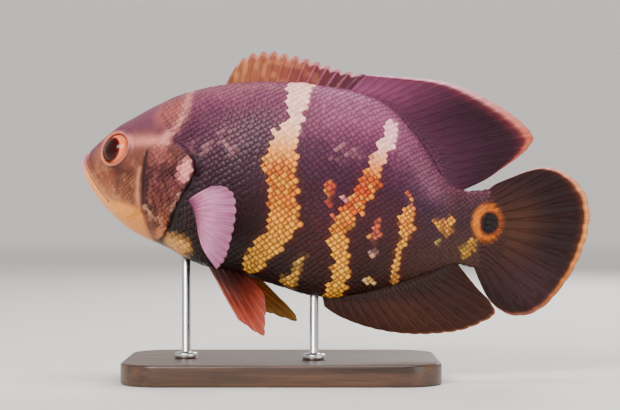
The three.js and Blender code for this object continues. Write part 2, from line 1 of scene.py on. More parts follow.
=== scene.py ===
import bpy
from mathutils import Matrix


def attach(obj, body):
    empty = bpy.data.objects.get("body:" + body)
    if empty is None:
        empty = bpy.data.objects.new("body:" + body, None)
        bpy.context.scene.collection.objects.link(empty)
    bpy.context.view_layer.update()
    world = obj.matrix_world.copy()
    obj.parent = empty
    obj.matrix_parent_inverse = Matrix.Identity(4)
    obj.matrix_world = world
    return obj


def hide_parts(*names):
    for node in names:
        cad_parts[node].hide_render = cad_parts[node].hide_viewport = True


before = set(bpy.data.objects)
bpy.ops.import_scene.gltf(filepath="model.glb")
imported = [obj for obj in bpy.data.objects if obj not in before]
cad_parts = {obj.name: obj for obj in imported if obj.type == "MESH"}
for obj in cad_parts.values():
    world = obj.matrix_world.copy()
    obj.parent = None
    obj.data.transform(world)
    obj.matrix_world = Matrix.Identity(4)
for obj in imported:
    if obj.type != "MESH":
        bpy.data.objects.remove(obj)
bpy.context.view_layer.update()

import math

import bmesh
import bpy
import numpy as np
from mathutils import Vector
from mathutils.kdtree import KDTree

# A life-size oscar on a display stand. The fish is laid out straight, in millimetres, and then posed:
#   s  distance behind the snout,  l  distance to the right of the midline,  w  height above the axis.
# Its left side has negative l. Arrays of points hold one point in each row.

MM = 0.001
LEFT = -1
RIGHT = 1

# The pose and the flesh

STANDARD_LENGTH = 238.0
TOTAL_LENGTH = 300.0
NOSE_UP = 9.2
SNOUT_AT = (-144.0, 22.0, 122.6)
COAT_DEPTH = 0.35

# Heading of the spine in degrees: positive turns the head away to the right side
BEND = [(0, 26), (40, 23), (80, 14), (120, 5), (160, 0), (200, -5), (238, -9), (300, -14)]

BACK = [
    (0, 3), (1.5, 6.5), (4, 10.5), (8, 14.5), (14, 20.5), (21, 26), (29, 31.8), (38, 38.2), (48, 44.4),
    (60, 50.3), (75, 56), (92, 60.6), (110, 63.4), (130, 65), (148, 65), (160, 63.6), (170, 60.6),
    (179, 55.4), (189, 47.4), (199, 37.4), (208, 27.6), (216, 21.4), (224, 19.6), (232, 20.6), (238, 22),
]
BELLY = [
    (0, -3.4), (1.5, -7.2), (5.5, -12.8), (13, -19.6), (21, -25.4), (31, -31.2), (41, -35.2), (51, -37.6),
    (61, -39.8), (72, -43), (84, -45.8), (97, -47.2), (112, -48.2), (130, -50.6), (146, -52.6), (158, -52.2),
    (170, -48.8), (182, -44), (195, -38), (208, -31.2), (220, -24.6), (229, -21.8), (238, -22.4),
]
HALF_WIDTH = [
    (0, 4.6), (1.5, 6.6), (5, 9.2), (10, 11.8), (17, 14.8), (27, 18), (40, 20.8), (55, 23), (72, 24.2),
    (92, 24), (112, 22.8), (132, 20.8), (152, 18), (172, 14.6), (192, 11), (210, 8), (224, 5.6), (234, 3.2),
    (238, 1.5),
]
FLANK = [(0, -0.5), (15, 1), (40, 3), (70, 2), (110, 0), (160, 1), (200, 0), (238, 0)]
BACK_POWER = [(0, 0.8), (25, 0.82), (50, 0.95), (90, 1.12), (150, 1.2), (200, 1.1), (238, 0.9)]
BELLY_POWER = [(0, 0.85), (20, 1.05), (50, 0.95), (90, 0.75), (130, 0.85), (170, 1.15), (238, 0.9)]

# Head features
EYE = {"s": 27, "w": 11.5, "long": 10.4, "tall": 9.6, "depth": 8.3, "bulge": 3.5}
ORBIT = {"long": 10.7, "tall": 9.9}
GAZE_FORWARD = 17.0
GAZE_DOWN = 4.0
NOSTRIL = {"s": 11, "w": 12.5, "radius": 1.3, "thick": 0.5}
MOUTH = [(-0.7, 3.4), (1.6, 2.6), (5, -0.9), (9, -4.8), (16.2, -11.8), (22.6, -17.2), (26.4, -20)]
GILL_COVER = [
    (50.5, 16.5), (48.6, 7), (49.4, -9), (50, -22), (52.4, -31), (57.6, -35.6), (63.4, -32.6), (67, -24),
    (68.8, -16), (71.8, -8), (75.4, 0), (76.4, 7.5), (72.6, 14.4), (65, 19), (57, 20),
]
GILL_RISE = {"front": 0.15, "back": 1.5, "from": 56, "to": 74}
CHEEK_EDGE = [(47.2, 9), (46.6, -1), (48, -17.5), (46, -23.5), (39, -27)]

# Fins
DORSAL_SPINES = 13
DORSAL_SOFT_RAYS = 20
DORSAL_SPINY_SPAN = (79, 149.1)
DORSAL_SOFT_SPAN = (148.7, 219)
SPINY_EDGE = [
    (82.5, 65.5), (86, 72), (91, 76.2), (97, 78.6), (104, 80), (112, 79.6), (121, 79), (131, 77.6),
    (141, 76), (151, 75.2), (158.4, 75),
]
SOFT_EDGE = [
    (158.1, 75), (172, 76.2), (184, 77.4), (196, 78.2), (208, 77.6), (220, 75), (232, 71.2), (244, 66.4),
    (253, 61.2), (258.6, 55.6), (257, 50), (251.6, 43), (243.6, 35.4), (236.4, 28.6), (231, 24.6),
]
CAUDAL_RAYS = 16
CAUDAL_ROOT = (21.0, -21.4)
CAUDAL_EDGE = [
    (240, 25.6), (250, 31.8), (260, 37.6), (269, 40.4), (279, 39.4), (288, 35), (295, 28.2), (299, 18.8),
    (300, 8.4), (298.6, -3.4), (295.4, -15), (290.2, -26), (283.4, -36.4), (275.4, -43.2), (265.6, -46.2),
    (256.4, -44.6), (247.4, -38.6), (240, -29),
]
ANAL_RAYS = 19
ANAL_SPAN = (152.5, 224.5)
ANAL_EDGE = [
    (155.6, -57.6), (162, -60.8), (171, -63.4), (183, -65.4), (196, -66), (210, -65), (224, -62.2),
    (236, -58.4), (246, -52.6), (252.6, -46.6), (248.8, -40.4), (240.6, -34.4), (233, -28), (228, -23.6),
]
# How deep the roots of the fins lie in the flesh, and how thick a fin is between its rays
FIN_SINK = 3.2
CAUDAL_SINK = 2.5
PECTORAL_SINK = 2.6
PELVIC_SINK = 4.5
MEMBRANE = 0.42
# The length of each fin's rays, and the height of its sideways wave with the number of half turns
FIN_REACH = {"spiny": 12, "soft": 48, "tail": 55, "anal": 34}
FIN_WAVE = {"soft": (1.6, 1.5), "anal": (1.2, 1.5), "tail": (1.5, 2)}

PECTORAL_RAYS = 13
PECTORAL_ROOT = [(76, -11.5), (79.6, -17.2), (83, -23.6)]
PECTORAL_TIPS = [
    (92.5, 45, -1), (100.1, 53, -0.1), (105.4, 58, -3.4), (107.9, 61, -11), (108.3, 61, -19.8),
    (107.6, 59.6, -28.5), (106.6, 56.5, -35), (104.6, 52, -40.5), (101.5, 47, -44.5),
]
PELVIC_RAYS = 6
PELVIC_ROOT = {"front": (85.5, 7), "back": (105, 5)}
PELVIC_TIPS = {
    LEFT: [(111, 14, -72), (126, 17, -78), (125.5, 15, -70), (124.5, 12.5, -62.5), (122, 9, -56)],
    RIGHT: [(120, 13, -66.5), (142, 15, -69), (137, 13.5, -63), (130, 11.5, -58), (124, 9, -54)],
}

# Scales, from the shoulder to the tail
SCALE_COLUMN_PITCH = [(40, 3.5), (90, 4.0), (140, 4.0), (190, 3.6), (238, 2.9)]
SCALE_ROW_PITCH = [(40, 3.3), (90, 3.7), (140, 3.7), (190, 3.3), (238, 2.8)]
SCALE_LONG = 1.75
SCALE_WIDE = 1.3
# Where the coat of each side is cut in two, so that neither piece grows too large
COAT_SPLIT = 145.0

# Markings on the left side, as rows of height, front edge and back edge
STRIPE_ONE = [
    (64.5, 112.5, 128), (54, 116, 127), (42.6, 119.5, 126.2), (34.5, 113.1, 126.4), (24.6, 110.8, 124.3),
    (17.8, 108.8, 127), (8.4, 113.3, 130.6), (-2.5, 115.5, 130.8), (-13.2, 118.3, 134), (-20, 116.5, 132.4),
    (-25.4, 112, 127.8), (-31.5, 109.4, 124.3), (-37.7, 107.8, 120.1), (-43.5, 107, 115.5),
]
STRIPE_TWO = [
    (50.5, 171, 179), (40, 169.3, 178.6), (33.8, 167.5, 174.5), (22.1, 164.4, 172.9), (13.2, 160.2, 172.5),
    (5.5, 156.4, 170.5), (-2.2, 154.2, 162.4), (-10.9, 150.3, 161), (-19.5, 150.1, 160.2),
    (-27.5, 152.8, 162.2), (-35.8, 155.2, 163.6), (-44.5, 154, 163.4), (-53, 151.3, 163.4),
]
STRIPE_THREE = [
    (4.5, 186.8, 194), (-3.4, 186.6, 195.6), (-10.8, 188, 194.2), (-19.5, 187, 192.5),
    (-28.2, 186.8, 191.4), (-38.5, 187.6, 192.1),
]
STRIPE_COLOURS = {
    "one": [(-45, "#e4b44c"), (-27, "#e4a83e"), (-12, "#df922a"), (4, "#d07814"), (14, "#d47c18"),
            (24, "#e49a4a"), (33, "#f0b88e"), (44, "#f6c4b2"), (64, "#f5bdb6")],
    "two": [(-52, "#eeb648"), (-34, "#e8ae42"), (-14, "#dc942a"), (0, "#cc6012"), (10, "#c85412"),
            (20, "#d57a30"), (28, "#e8a67c"), (40, "#f5c0be"), (50, "#efb4c2")],
    "three": [(-38, "#cc9c50"), (-18, "#d8983c"), (3, "#e4943c")],
}
# Spots: place, half sizes and colour
SPOTS = [
    (146.1, 8.1, 2.7, 4.6, "#b8563a"), (147.9, 0.4, 1.6, 2.4, "#9c4a3c"), (175.5, -4.4, 2.0, 2.2, "#c0695a"),
    (173.5, -8.8, 2.4, 2.6, "#c4694c"), (174.7, -13.6, 2.4, 3.2, "#c87258"),
    (174.7, -22.6, 1.8, 2.2, "#b08a88"),
    (165.3, -2.5, 1.8, 2.0, "#c0583a"), (154.8, 4.0, 1.8, 2.2, "#c9808a"), (150.7, -7.4, 1.8, 2.0, "#b8664a"),
    (176.1, -39.4, 3.2, 2.0, "#c9b483"), (132.6, -46.0, 4.2, 3.6, "#cfa758"),
    (190.2, 11.6, 2.0, 2.6, "#b05c48"),
    (191.6, 5.9, 1.8, 2.0, "#b8705c"), (209.4, -0.8, 2.6, 2.6, "#c98f3c"), (215.0, 1.0, 3.0, 3.2, "#cf9444"),
    (213.6, -4.4, 2.8, 2.6, "#b9823a"), (226.9, -15.0, 2.8, 4.2, "#a8862c"),
    (230.9, -9.8, 2.6, 3.6, "#b78c34"), (209.8, -12.4, 1.8, 1.8, "#8f8450"),
]
STREAK = [(134.5, -43), (137.8, -31.3)]
TAIL_SPOT = {"s": 240.6, "w": 3.6}

# Marks of the head and the tail spot: colour, strength, and either an oval, as its middle and half sizes,
# with its softness, or a line with its width
FACE_MARKS = [
    # This dark oval under the rear of the eye is a painted shadow cast by the bulging eye
    ("#56302a", 0.8, (33, 0, 7, 4), 0.8),
    ("#a87058", 0.6, (17, 8, 6, 9), 0.8),
]
MOUTH_MARKS = [
    ("#de9aa6", 0.9, (-0.5, 0, 4.6, 9), 0.6),
    # This dark line along the mouth is painted shade in the cleft between the lips
    ("#4f241e", 0.9, [(-2, 3.2), (1.6, 2.6), *MOUTH[2:6], (25, -19)], 0.6),
]
CHEEK_MARKS = [
    ("#cc887c", 0.85, [(36, 17), (46, 18.2), (58, 19.8)], 3.4),
    ("#ad6a60", 0.75, (55, 37, 7, 8), 0.8),
    ("#cf9488", 0.75, [(57, 20), (61, 27), (63.5, 36), (62.5, 44), (59, 49)], 2.4),
    ("#b98d70", 0.75, [(47, 3), (46.6, -3), (47.8, -18)], 0.9),
    ("#2e1518", 0.85, [(49.4, 12), (49.8, -2), (51.2, -18)], 1.7),
    # This pale arc low on the gill cover is a painted highlight
    ("#c99a7a", 0.75, [(51.6, -18.5), (55.4, -23.6), (61.3, -23.4)], 1.1),
    # This pale line along the gill cover's rear edge is a painted highlight
    ("#dba897", 0.85, [(71.8, -8), (69.4, -12), (67.6, -17.5)], 1.2),
    ("#e39a98", 0.95, (72.2, 5.4, 3.6, 6.6), 0.4),
]
CHEST_MARKS = [("#d0a05c", 0.95, (70.5, -36.5, 7, 5.2), 0.5)]
TAIL_SPOT_MARKS = [
    ("#96520f", 0.85, (TAIL_SPOT["s"] - 1.4, TAIL_SPOT["w"], 9.4, 11.0), 0.2),
    ("#cf7f16", 0.8, (TAIL_SPOT["s"] - 2.4, TAIL_SPOT["w"], 8.4, 9.2), 0.2),
    ("#6a2c14", 0.8, (TAIL_SPOT["s"], TAIL_SPOT["w"], 6.7, 7.3), 0.14),
    ("#22060c", 1.0, (TAIL_SPOT["s"], TAIL_SPOT["w"], 5.4, 6.0), 0.1),
]


# Numbers and shapes

def smooth_through(points):
    """A monotone cubic through control points, held flat past its ends."""
    x = np.array([p[0] for p in points], float)
    y = np.array([p[1] for p in points], float)
    gap = np.diff(x)
    slope = np.diff(y) / gap
    tangent = np.empty_like(y)
    tangent[0] = slope[0]
    tangent[-1] = slope[-1]
    for i in range(1, len(x) - 1):
        a, b = slope[i - 1], slope[i]
        tangent[i] = 0.0 if a * b <= 0 else 2 * a * b / (a + b)

    def value(at):
        at = np.clip(at, x[0], x[-1])
        i = np.clip(np.searchsorted(x, at) - 1, 0, len(x) - 2)
        u = (at - x[i]) / gap[i]
        rise = (2 * u**3 - 3 * u**2 + 1) * y[i] + (3 * u**2 - 2 * u**3) * y[i + 1]
        return rise + (u**3 - 2 * u**2 + u) * gap[i] * tangent[i] + (u**3 - u**2) * gap[i] * tangent[i + 1]

    return value


def curve_through(points, steps=24, closed=False):
    """A centripetal curve through points, as a function of the share of its length."""
    p = np.array(points, float)
    if closed:
        p = np.vstack([p[-1], p, p[0], p[1]])
    else:
        p = np.vstack([2 * p[0] - p[1], p, 2 * p[-1] - p[-2]])
    run = []
    for i in range(1, len(p) - 2):
        knots = [0.0]
        for j in range(3):
            knots.append(knots[-1] + np.linalg.norm(p[i + j] - p[i + j - 1]) ** 0.5)
        t0, t1, t2, t3 = knots
        for t in np.linspace(t1, t2, steps, endpoint=False):
            a = (t1 - t) / (t1 - t0) * p[i - 1] + (t - t0) / (t1 - t0) * p[i]
            b = (t2 - t) / (t2 - t1) * p[i] + (t - t1) / (t2 - t1) * p[i + 1]
            c = (t3 - t) / (t3 - t2) * p[i + 1] + (t - t2) / (t3 - t2) * p[i + 2]
            d = (t2 - t) / (t2 - t0) * a + (t - t0) / (t2 - t0) * b
            e = (t3 - t) / (t3 - t1) * b + (t - t1) / (t3 - t1) * c
            run.append((t2 - t) / (t2 - t1) * d + (t - t1) / (t2 - t1) * e)
    run.append(p[-2])
    run = np.array(run)
    length = np.concatenate([[0], np.cumsum(np.linalg.norm(np.diff(run, axis=0), axis=1))])
    share = length / length[-1]

    def value(t):
        return np.stack([np.interp(t, share, run[:, k]) for k in range(run.shape[1])], axis=-1)

    return value


def mix(a, b, t):
    return a + (b - a) * t


def ease(t):
    t = np.clip(t, 0.0, 1.0)
    return t * t * (3 - 2 * t)


def ridge(distance, middle, width):
    """One in the middle, fading to nothing on both sides."""
    return np.exp(-(((distance - middle) / width) ** 2))


def unit(v):
    return v / np.maximum(np.linalg.norm(v, axis=-1, keepdims=True), 1e-9)


def distance_to_line(points, line):
    """Distance from each point to a broken line, and the share of the line's length that is nearest."""
    line = np.array(line, float)
    piece = np.linalg.norm(np.diff(line, axis=0), axis=1)
    start = np.concatenate([[0], np.cumsum(piece)])
    best = np.full(len(points), 1e9)
    share = np.zeros(len(points))
    for i in range(len(line) - 1):
        along = line[i + 1] - line[i]
        t = np.clip(((points - line[i]) @ along) / (along @ along), 0, 1)
        gap = np.linalg.norm(points - line[i] - t[:, None] * along, axis=1)
        nearer = gap < best
        best[nearer] = gap[nearer]
        share[nearer] = ((start[i] + t * piece[i]) / start[-1])[nearer]
    return best, share


def inside_outline(points, outline):
    """True for each 2-D point inside a closed outline."""
    x, y = points[:, 0], points[:, 1]
    inside = np.zeros(len(points), bool)
    for (x0, y0), (x1, y1) in zip(outline, np.roll(outline, -1, axis=0)):
        if y0 == y1:
            continue
        crosses = (y0 > y) != (y1 > y)
        inside ^= crosses & (x < (x1 - x0) * (y - y0) / (y1 - y0) + x0)
    return inside


def patches(x, y, size, seed):
    """Soft noise from 0 to 1 over a plane, its patches about size across."""
    cells = 97
    lattice = np.random.RandomState(seed).rand(cells, cells)
    u, v = np.asarray(x) / size + 31.7, np.asarray(y) / size + 17.3
    i, j = np.floor(u).astype(int), np.floor(v).astype(int)
    a, b = ease(u - i), ease(v - j)

    def corner(di, dj):
        return lattice[(i + di) % cells, (j + dj) % cells]

    low = mix(corner(0, 0), corner(1, 0), a)
    return mix(low, mix(corner(0, 1), corner(1, 1), a), b)


back = smooth_through(BACK)
belly = smooth_through(BELLY)
half_width = smooth_through(HALF_WIDTH)
flank = smooth_through(FLANK)
back_power = smooth_through(BACK_POWER)
belly_power = smooth_through(BELLY_POWER)
heading = smooth_through(BEND)

SPINE_S = np.arange(-20.0, 331.0)
SPINE_TURN = np.radians(heading(SPINE_S[:-1] + 0.5))
SPINE_X = np.concatenate([[0], np.cumsum(np.cos(SPINE_TURN))])
SPINE_Y = np.concatenate([[0], -np.cumsum(np.sin(SPINE_TURN))])
SPINE_X -= np.interp(0, SPINE_S, SPINE_X)
SPINE_Y -= np.interp(0, SPINE_S, SPINE_Y)


def pose(points):
    """Carries straight-fish points, in millimetres, to their place in the model, in metres."""
    s, l, w = points[..., 0], points[..., 1], points[..., 2]
    turn = np.radians(heading(s))
    tip = math.radians(NOSE_UP)
    along = np.interp(s, SPINE_S, SPINE_X) + l * np.sin(turn)
    across = np.interp(s, SPINE_S, SPINE_Y) + l * np.cos(turn)
    x = SNOUT_AT[0] + along * math.cos(tip) + w * math.sin(tip)
    z = SNOUT_AT[2] - along * math.sin(tip) + w * math.cos(tip)
    return np.stack([x, SNOUT_AT[1] + across, z], axis=-1) * MM


def pose_direction(points, direction):
    step = 0.05
    return unit(pose(points + direction * step) - pose(points - direction * step))


def flesh_at(s, a):
    """The plain flesh at station s and angle a, counted from the right side over the back."""
    c, v = np.cos(a), np.sin(a)
    power = np.where(v > 0, back_power(s), belly_power(s))
    reach = np.where(v > 0, back(s) - flank(s), flank(s) - belly(s))
    side = np.sign(c) * np.abs(c) ** power * half_width(s)
    return np.stack([s + 0 * side, side, flank(s) + v * reach], axis=-1)


def flesh_normal(s, a):
    ds, da = 0.4, 0.02
    along = flesh_at(s + ds, a) - flesh_at(s - ds, a)
    around = flesh_at(s, a + da) - flesh_at(s, a - da)
    return unit(np.cross(around, along))


def angle_at(s, w, side):
    """The angle at which the skin at station s has height w, on one side."""
    reach = np.where(w > flank(s), back(s) - flank(s), flank(s) - belly(s))
    v = np.clip((w - flank(s)) / reach, -0.985, 0.985)
    return np.arcsin(v) if side == RIGHT else np.pi - np.arcsin(v)


def eye_axes(side):
    """The middle of the eye on the skin, and its long, tall and outward directions."""
    a = angle_at(np.float64(EYE["s"]), np.float64(EYE["w"]), side)
    at = flesh_at(np.float64(EYE["s"]), a)
    out = flesh_normal(np.float64(EYE["s"]), a)
    turn = Vector((0, 0, 1)).rotation_difference(Vector(out))
    long = np.array(turn @ Vector((1, 0, 0)))
    tall = np.array(turn @ Vector((0, 1, 0)))
    return at, long, tall * np.sign(tall[2]), out


EYE_AXES = {side: eye_axes(side) for side in (LEFT, RIGHT)}
GILL_LINE = curve_through(GILL_COVER, closed=True)(np.linspace(0, 1, 121))[:-1]


def mouth_path():
    """The line of the mouth over the skin, from the right corner round the snout to the left corner."""
    line = curve_through(MOUTH)(np.linspace(0, 1, 24))
    s = np.maximum(line[:, 0], 0.2)
    half = np.abs(flesh_at(s, angle_at(s, line[:, 1], RIGHT))[:, 1])
    front = np.clip((line[:, 0] + 0.7) / 1.6, 0, 1)
    half = half * np.sqrt(1 - (1 - front) ** 2)
    right = np.stack([line[:, 0], half, line[:, 1]], axis=-1)
    left = right * (1, -1, 1)
    return np.vstack([right[::-1], left[1:]])


MOUTH_PATH = mouth_path()
MOUTH_HEIGHT = smooth_through(MOUTH)


def in_gill_cover(s, w):
    """How far inside the gill cover's outline a place lies, negative outside it."""
    place = np.stack([np.ravel(s), np.ravel(w)], axis=-1)
    gap, _ = distance_to_line(place, np.vstack([GILL_LINE, GILL_LINE[:1]]))
    return np.where(inside_outline(place, GILL_LINE), gap, -gap).reshape(np.shape(s))


def relief(p):
    """How far the skin stands out from the plain flesh at each straight-fish point p."""
    s, l, w = p[:, 0], p[:, 1], p[:, 2]
    rise = np.zeros(len(p))
    plane = p[:, [0, 2]]

    head = s < 34
    gap, share = distance_to_line(p[head], MOUTH_PATH)
    fullness = 1 - 0.8 * ease((np.abs(share - 0.5) * 2 - 0.35) / 0.65)
    above = w[head] > MOUTH_HEIGHT(s[head])
    lips = 1.75 * fullness * ridge(gap, 2.0, 1.35)
    cleft = -1.7 * ridge(gap, 0, 0.7)
    fold = -0.55 * fullness * ridge(gap, np.where(above, 4.3, 4.7), 0.7)
    jowl = 0.5 * ridge(gap, 6.5, 1.6) * ~above
    rise[head] += lips + cleft + fold + jowl

    for side in (LEFT, RIGHT):
        at, long, tall, _ = EYE_AXES[side]
        near = (np.sign(l) == side) & (np.abs(s - EYE["s"]) < 24) & (w > -10)
        offset = p[near] - at
        q = np.hypot(offset @ long / ORBIT["long"], offset @ tall / ORBIT["tall"])
        socket = -5.0 * ease((1.0 - q) / 0.16)
        rim = 0.75 * ridge(q, 1.08, 0.075)
        crease = -0.35 * ridge(q, 1.26, 0.06)
        rise[near] += socket + rim + crease

    near = (s > 40) & (s < 86) & (w < 28)
    depth = in_gill_cover(s[near], w[near])
    lift = mix(GILL_RISE["front"], GILL_RISE["back"],
               ease((s[near] - GILL_RISE["from"]) / (GILL_RISE["to"] - GILL_RISE["from"])))
    plate = lift * ease((depth + 0.25) / 0.9)
    groove = -(0.35 + 0.5 * lift) * ridge(depth, -0.7, 0.6)
    ribs = 0.1 * np.sin(np.arctan2(plane[near][:, 1] - 12, plane[near][:, 0] - 52) * 34) * ease(depth / 4)
    rise[near] += plate + groove + ribs

    near = (s > 30) & (s < 56) & (w < 14)
    gap, _ = distance_to_line(plane[near], CHEEK_EDGE)
    rise[near] += 0.45 * ridge(gap, 0.9, 0.9) - 0.6 * ridge(gap, 0, 0.45)

    cheek = 0.9 * ridge(s, 38, 8) * ridge(w, -8, 10)
    brow = 0.5 * ridge(s, 25, 10) * ridge(w, 25, 4)
    return rise + cheek + brow


def skin_at(s, a):
    """The finished skin at flat arrays of stations and angles."""
    plain = flesh_at(s, a)
    return plain + flesh_normal(s, a) * (relief(plain) - COAT_DEPTH)[:, None]


def skin_frame(s, a):
    """Skin points with their outward and tailward directions."""
    ds, da = 0.8, 0.03
    at = skin_at(s, a)
    along = unit(skin_at(s + ds, a) - skin_at(s - ds, a))
    around = skin_at(s, a + da) - skin_at(s, a - da)
    return at, unit(np.cross(around, along)), along


# Colours

def linear(code):
    """A named screen colour as linear light."""
    screen = np.array([int(code[i:i + 2], 16) / 255 for i in (1, 3, 5)])
    return np.where(screen <= 0.04045, screen / 12.92, ((screen + 0.055) / 1.055) ** 2.4)


def ramp(t, stops):
    """Colours along a list of places and colours."""
    places = [stop[0] for stop in stops]
    colours = np.array([linear(stop[1]) for stop in stops])
    return np.stack([np.interp(t, places, colours[:, k]) for k in range(3)], axis=-1)


def lay(base, colour, share):
    """Lays one colour over others by a share from 0 to 1."""
    colour = linear(colour) if isinstance(colour, str) else colour
    return base + (colour - base) * np.clip(share, 0, 1)[..., None]


def blob(s, w, at_s, at_w, half_s, half_w, soft=0.35):
    """One inside an oval and nothing outside it."""
    q = np.hypot((s - at_s) / half_s, (w - at_w) / half_w)
    return 1 - ease((q - 1 + soft) / (2 * soft))


def band(s, w, line, width):
    """One on a line and nothing well away from it."""
    gap, _ = distance_to_line(np.stack([np.ravel(s), np.ravel(w)], axis=-1), line)
    return ridge(gap, 0, width).reshape(np.shape(s))


def lay_marks(rgb, s, w, marks):
    """Lays ovals and lines of colour, in their order."""
    for colour, strength, shape, soft in marks:
        mask = band(s, w, shape, soft) if isinstance(shape, list) else blob(s, w, *shape, soft)
        rgb = lay(rgb, colour, strength * mask)
    return rgb


def stripe(s, w, rows, soft):
    """One inside a stripe given by rows of height, front edge and back edge."""
    rows = sorted(rows)
    heights = [row[0] for row in rows]
    front = np.interp(w, heights, [row[1] for row in rows])
    rear = np.interp(w, heights, [row[2] for row in rows])
    ends = ease((w - heights[0] + 2) / 2) * ease((heights[-1] + 2 - w) / 2)
    return ease((s - front) / soft + 0.5) * ease((rear - s) / soft + 0.5) * ends


# Ground colours from the belly, at 0, to the back, at 1: the fish's own dark plum, with painted shade
# darkening them towards the belly and a painted pink sheen of light from above lightening them towards the
# back
FRONT_FLANK = [(0, "#2a140c"), (0.14, "#301710"), (0.34, "#3a1a24"), (0.5, "#431330"), (0.62, "#4d1739"),
               (0.8, "#6c3450"), (0.92, "#844a64"), (1, "#945e6e")]
MIDDLE_FLANK = [(0, "#36190e"), (0.2, "#421d18"), (0.4, "#532432"), (0.55, "#4e203c"), (0.7, "#683252"),
                (0.83, "#925672"), (1, "#9c6480")]
REAR_FLANK = [(0, "#4c2a1e"), (0.25, "#4d2b28"), (0.45, "#4c2934"), (0.62, "#4e2c44"), (0.78, "#7c4e64"),
              (0.9, "#7e5064"), (1, "#845068")]
STALK = [(0, "#54362c"), (0.3, "#55352e"), (0.55, "#4c2b30"), (0.8, "#4e2a34"), (0.94, "#683e4c"),
         (1, "#8a5a6a")]
HEAD_RAMP = [(0, "#cf9a64"), (0.2, "#ab7550"), (0.34, "#8a5842"), (0.48, "#7b4b3c"), (0.62, "#7c4e46"),
             (0.8, "#704654"), (1, "#7e5064")]

# The jaw's colours from the snout back, and the gill cover's from its foot up
JAW_RAMP = [(0, "#dda48c"), (12, "#dca266"), (36, "#d6964e"), (56, "#c4843f")]
COVER_RAMP = [(-36, "#b87c48"), (-27, "#a86a42"), (-19, "#7a4836"), (-8, "#6b3a3c"), (4, "#80494a"),
              (14, "#985e58"), (19, "#94605c")]


def body_paint(s, l, w, soft=1.2):
    """The colour of skin or scale at straight-fish places."""
    level = np.clip((w - belly(s)) / (back(s) - belly(s)), 0, 1) + (patches(s, w, 11, 3) - 0.5) * 0.1
    rgb = ramp(level, FRONT_FLANK)
    for stops, start, fade in ((MIDDLE_FLANK, 112, 34), (REAR_FLANK, 172, 30), (STALK, 203, 18)):
        rgb = lay(rgb, ramp(level, stops), ease((s - start) / fade))
    rgb = lay(rgb, ramp(level, HEAD_RAMP), ease((62 - s) / 14))
    rgb = head_paint(rgb, s, w)
    # The two sides of a fish never match, so the right side's bars wander by a few millimetres
    right = np.where(l > 0, 1.0, 0.0)
    s = s + right * (3.5 * np.sin(w / 9) + 1.5)
    for rows, name in ((STRIPE_ONE, "one"), (STRIPE_TWO, "two"), (STRIPE_THREE, "three")):
        inside = stripe(s, w, rows, soft)
        halo = stripe(s, w, [(height, front - 2.5, rear + 2.5) for height, front, rear in rows], 3.0)
        rgb = lay(rgb, "#5a1c14", 0.45 * halo * ease((30 - w) / 12))
        rgb = lay(rgb, ramp(w, sorted(STRIPE_COLOURS[name])), inside)
    rgb = lay(rgb, "#cfa758", band(s, w, STREAK, 1.5))
    for at_s, at_w, half_s, half_w, colour in SPOTS:
        rgb = lay(rgb, colour, blob(s, w, at_s, at_w, half_s, half_w))
    # Pale pink specks on the shoulder and on the upper back between the first two bars are painted highlights
    speck = ease((patches(s, w, 2.6, 8) - 0.45) / 0.25)
    glint_patches = blob(s, w, 85, 23, 12, 8, 0.7) + blob(s, w, 149, 30, 9, 6, 0.7)
    rgb = lay(rgb, "#b98a8c", 0.5 * glint_patches * speck)
    return tail_spot_paint(rgb, s, w)


def tail_spot_paint(rgb, s, w):
    return lay_marks(rgb, s, w, TAIL_SPOT_MARKS)


def head_paint(rgb, s, w):
    """Lays the face, the jaw, the gill cover and the painted shade behind it over the ground colours."""
    cloud = patches(s, w, 6, 12)
    fine = patches(s, w, 2.4, 14)
    rgb = lay(rgb, "#5e372c", 0.7 * ease((cloud - 0.35) / 0.4) * blob(s, w, 33, -6, 17, 14, 0.8))
    rgb = lay(rgb, "#c08f6c", 0.4 * ease((fine - 0.5) / 0.3) * blob(s, w, 30, -6, 18, 14, 0.6))
    rgb = lay_marks(rgb, s, w, FACE_MARKS)
    jaw_top = MOUTH_HEIGHT(np.minimum(s, 26)) + 2.2 - np.maximum(s - 26, 0) * 0.1
    jaw = ease((jaw_top - w) / 2.6 + 0.5) * ease((55 - s) / 9)
    rgb = lay(rgb, ramp(s, JAW_RAMP), 0.95 * jaw)
    rgb = lay_marks(rgb, s, w, MOUTH_MARKS)
    depth = in_gill_cover(s, w)
    cover = ease(depth / 0.8)
    rgb = lay(rgb, ramp(w, COVER_RAMP), cover)
    rgb = lay(rgb, "#4a2228", 0.7 * cover * ease((cloud - 0.42) / 0.3))
    rgb = lay(rgb, "#a87060", 0.2 * cover * ease((fine - 0.5) / 0.3))
    rgb = lay(rgb, "#5c3034", 0.6 * ease(depth / 0.4) * ease((2.6 - depth) / 1.4) * ease((s - 60) / 8))
    rgb = lay_marks(rgb, s, w, CHEEK_MARKS)
    # Painted shade in the gill opening: a near-black band just behind the gill cover's edge
    behind = ease(-depth / 1.2) * ease((6 + depth) / 4) * ease((s - 62) / 6) * ease((18 - w) / 8)
    rgb = lay(rgb, "#200e16", 0.75 * ease((84 - s) / 8) * behind)
    return lay_marks(rgb, s, w, CHEST_MARKS)


# Meshes and materials

# Soft studio light pales colours, so they are laid on stronger
PAINT_GAIN = 1.22
PAINT_POWER = 1.28


def add_piece(name, mesh):
    piece = bpy.data.objects.new(name, mesh)
    bpy.context.scene.collection.objects.link(piece)
    return piece


def mesh_object(name, points, faces):
    """A smooth piece from points in metres."""
    mesh = bpy.data.meshes.new(name)
    mesh.from_pydata(np.asarray(points, float).tolist(), [], [list(map(int, face)) for face in faces])
    mesh.polygons.foreach_set("use_smooth", np.full(len(mesh.polygons), True))
    mesh.update()
    return add_piece(name, mesh)


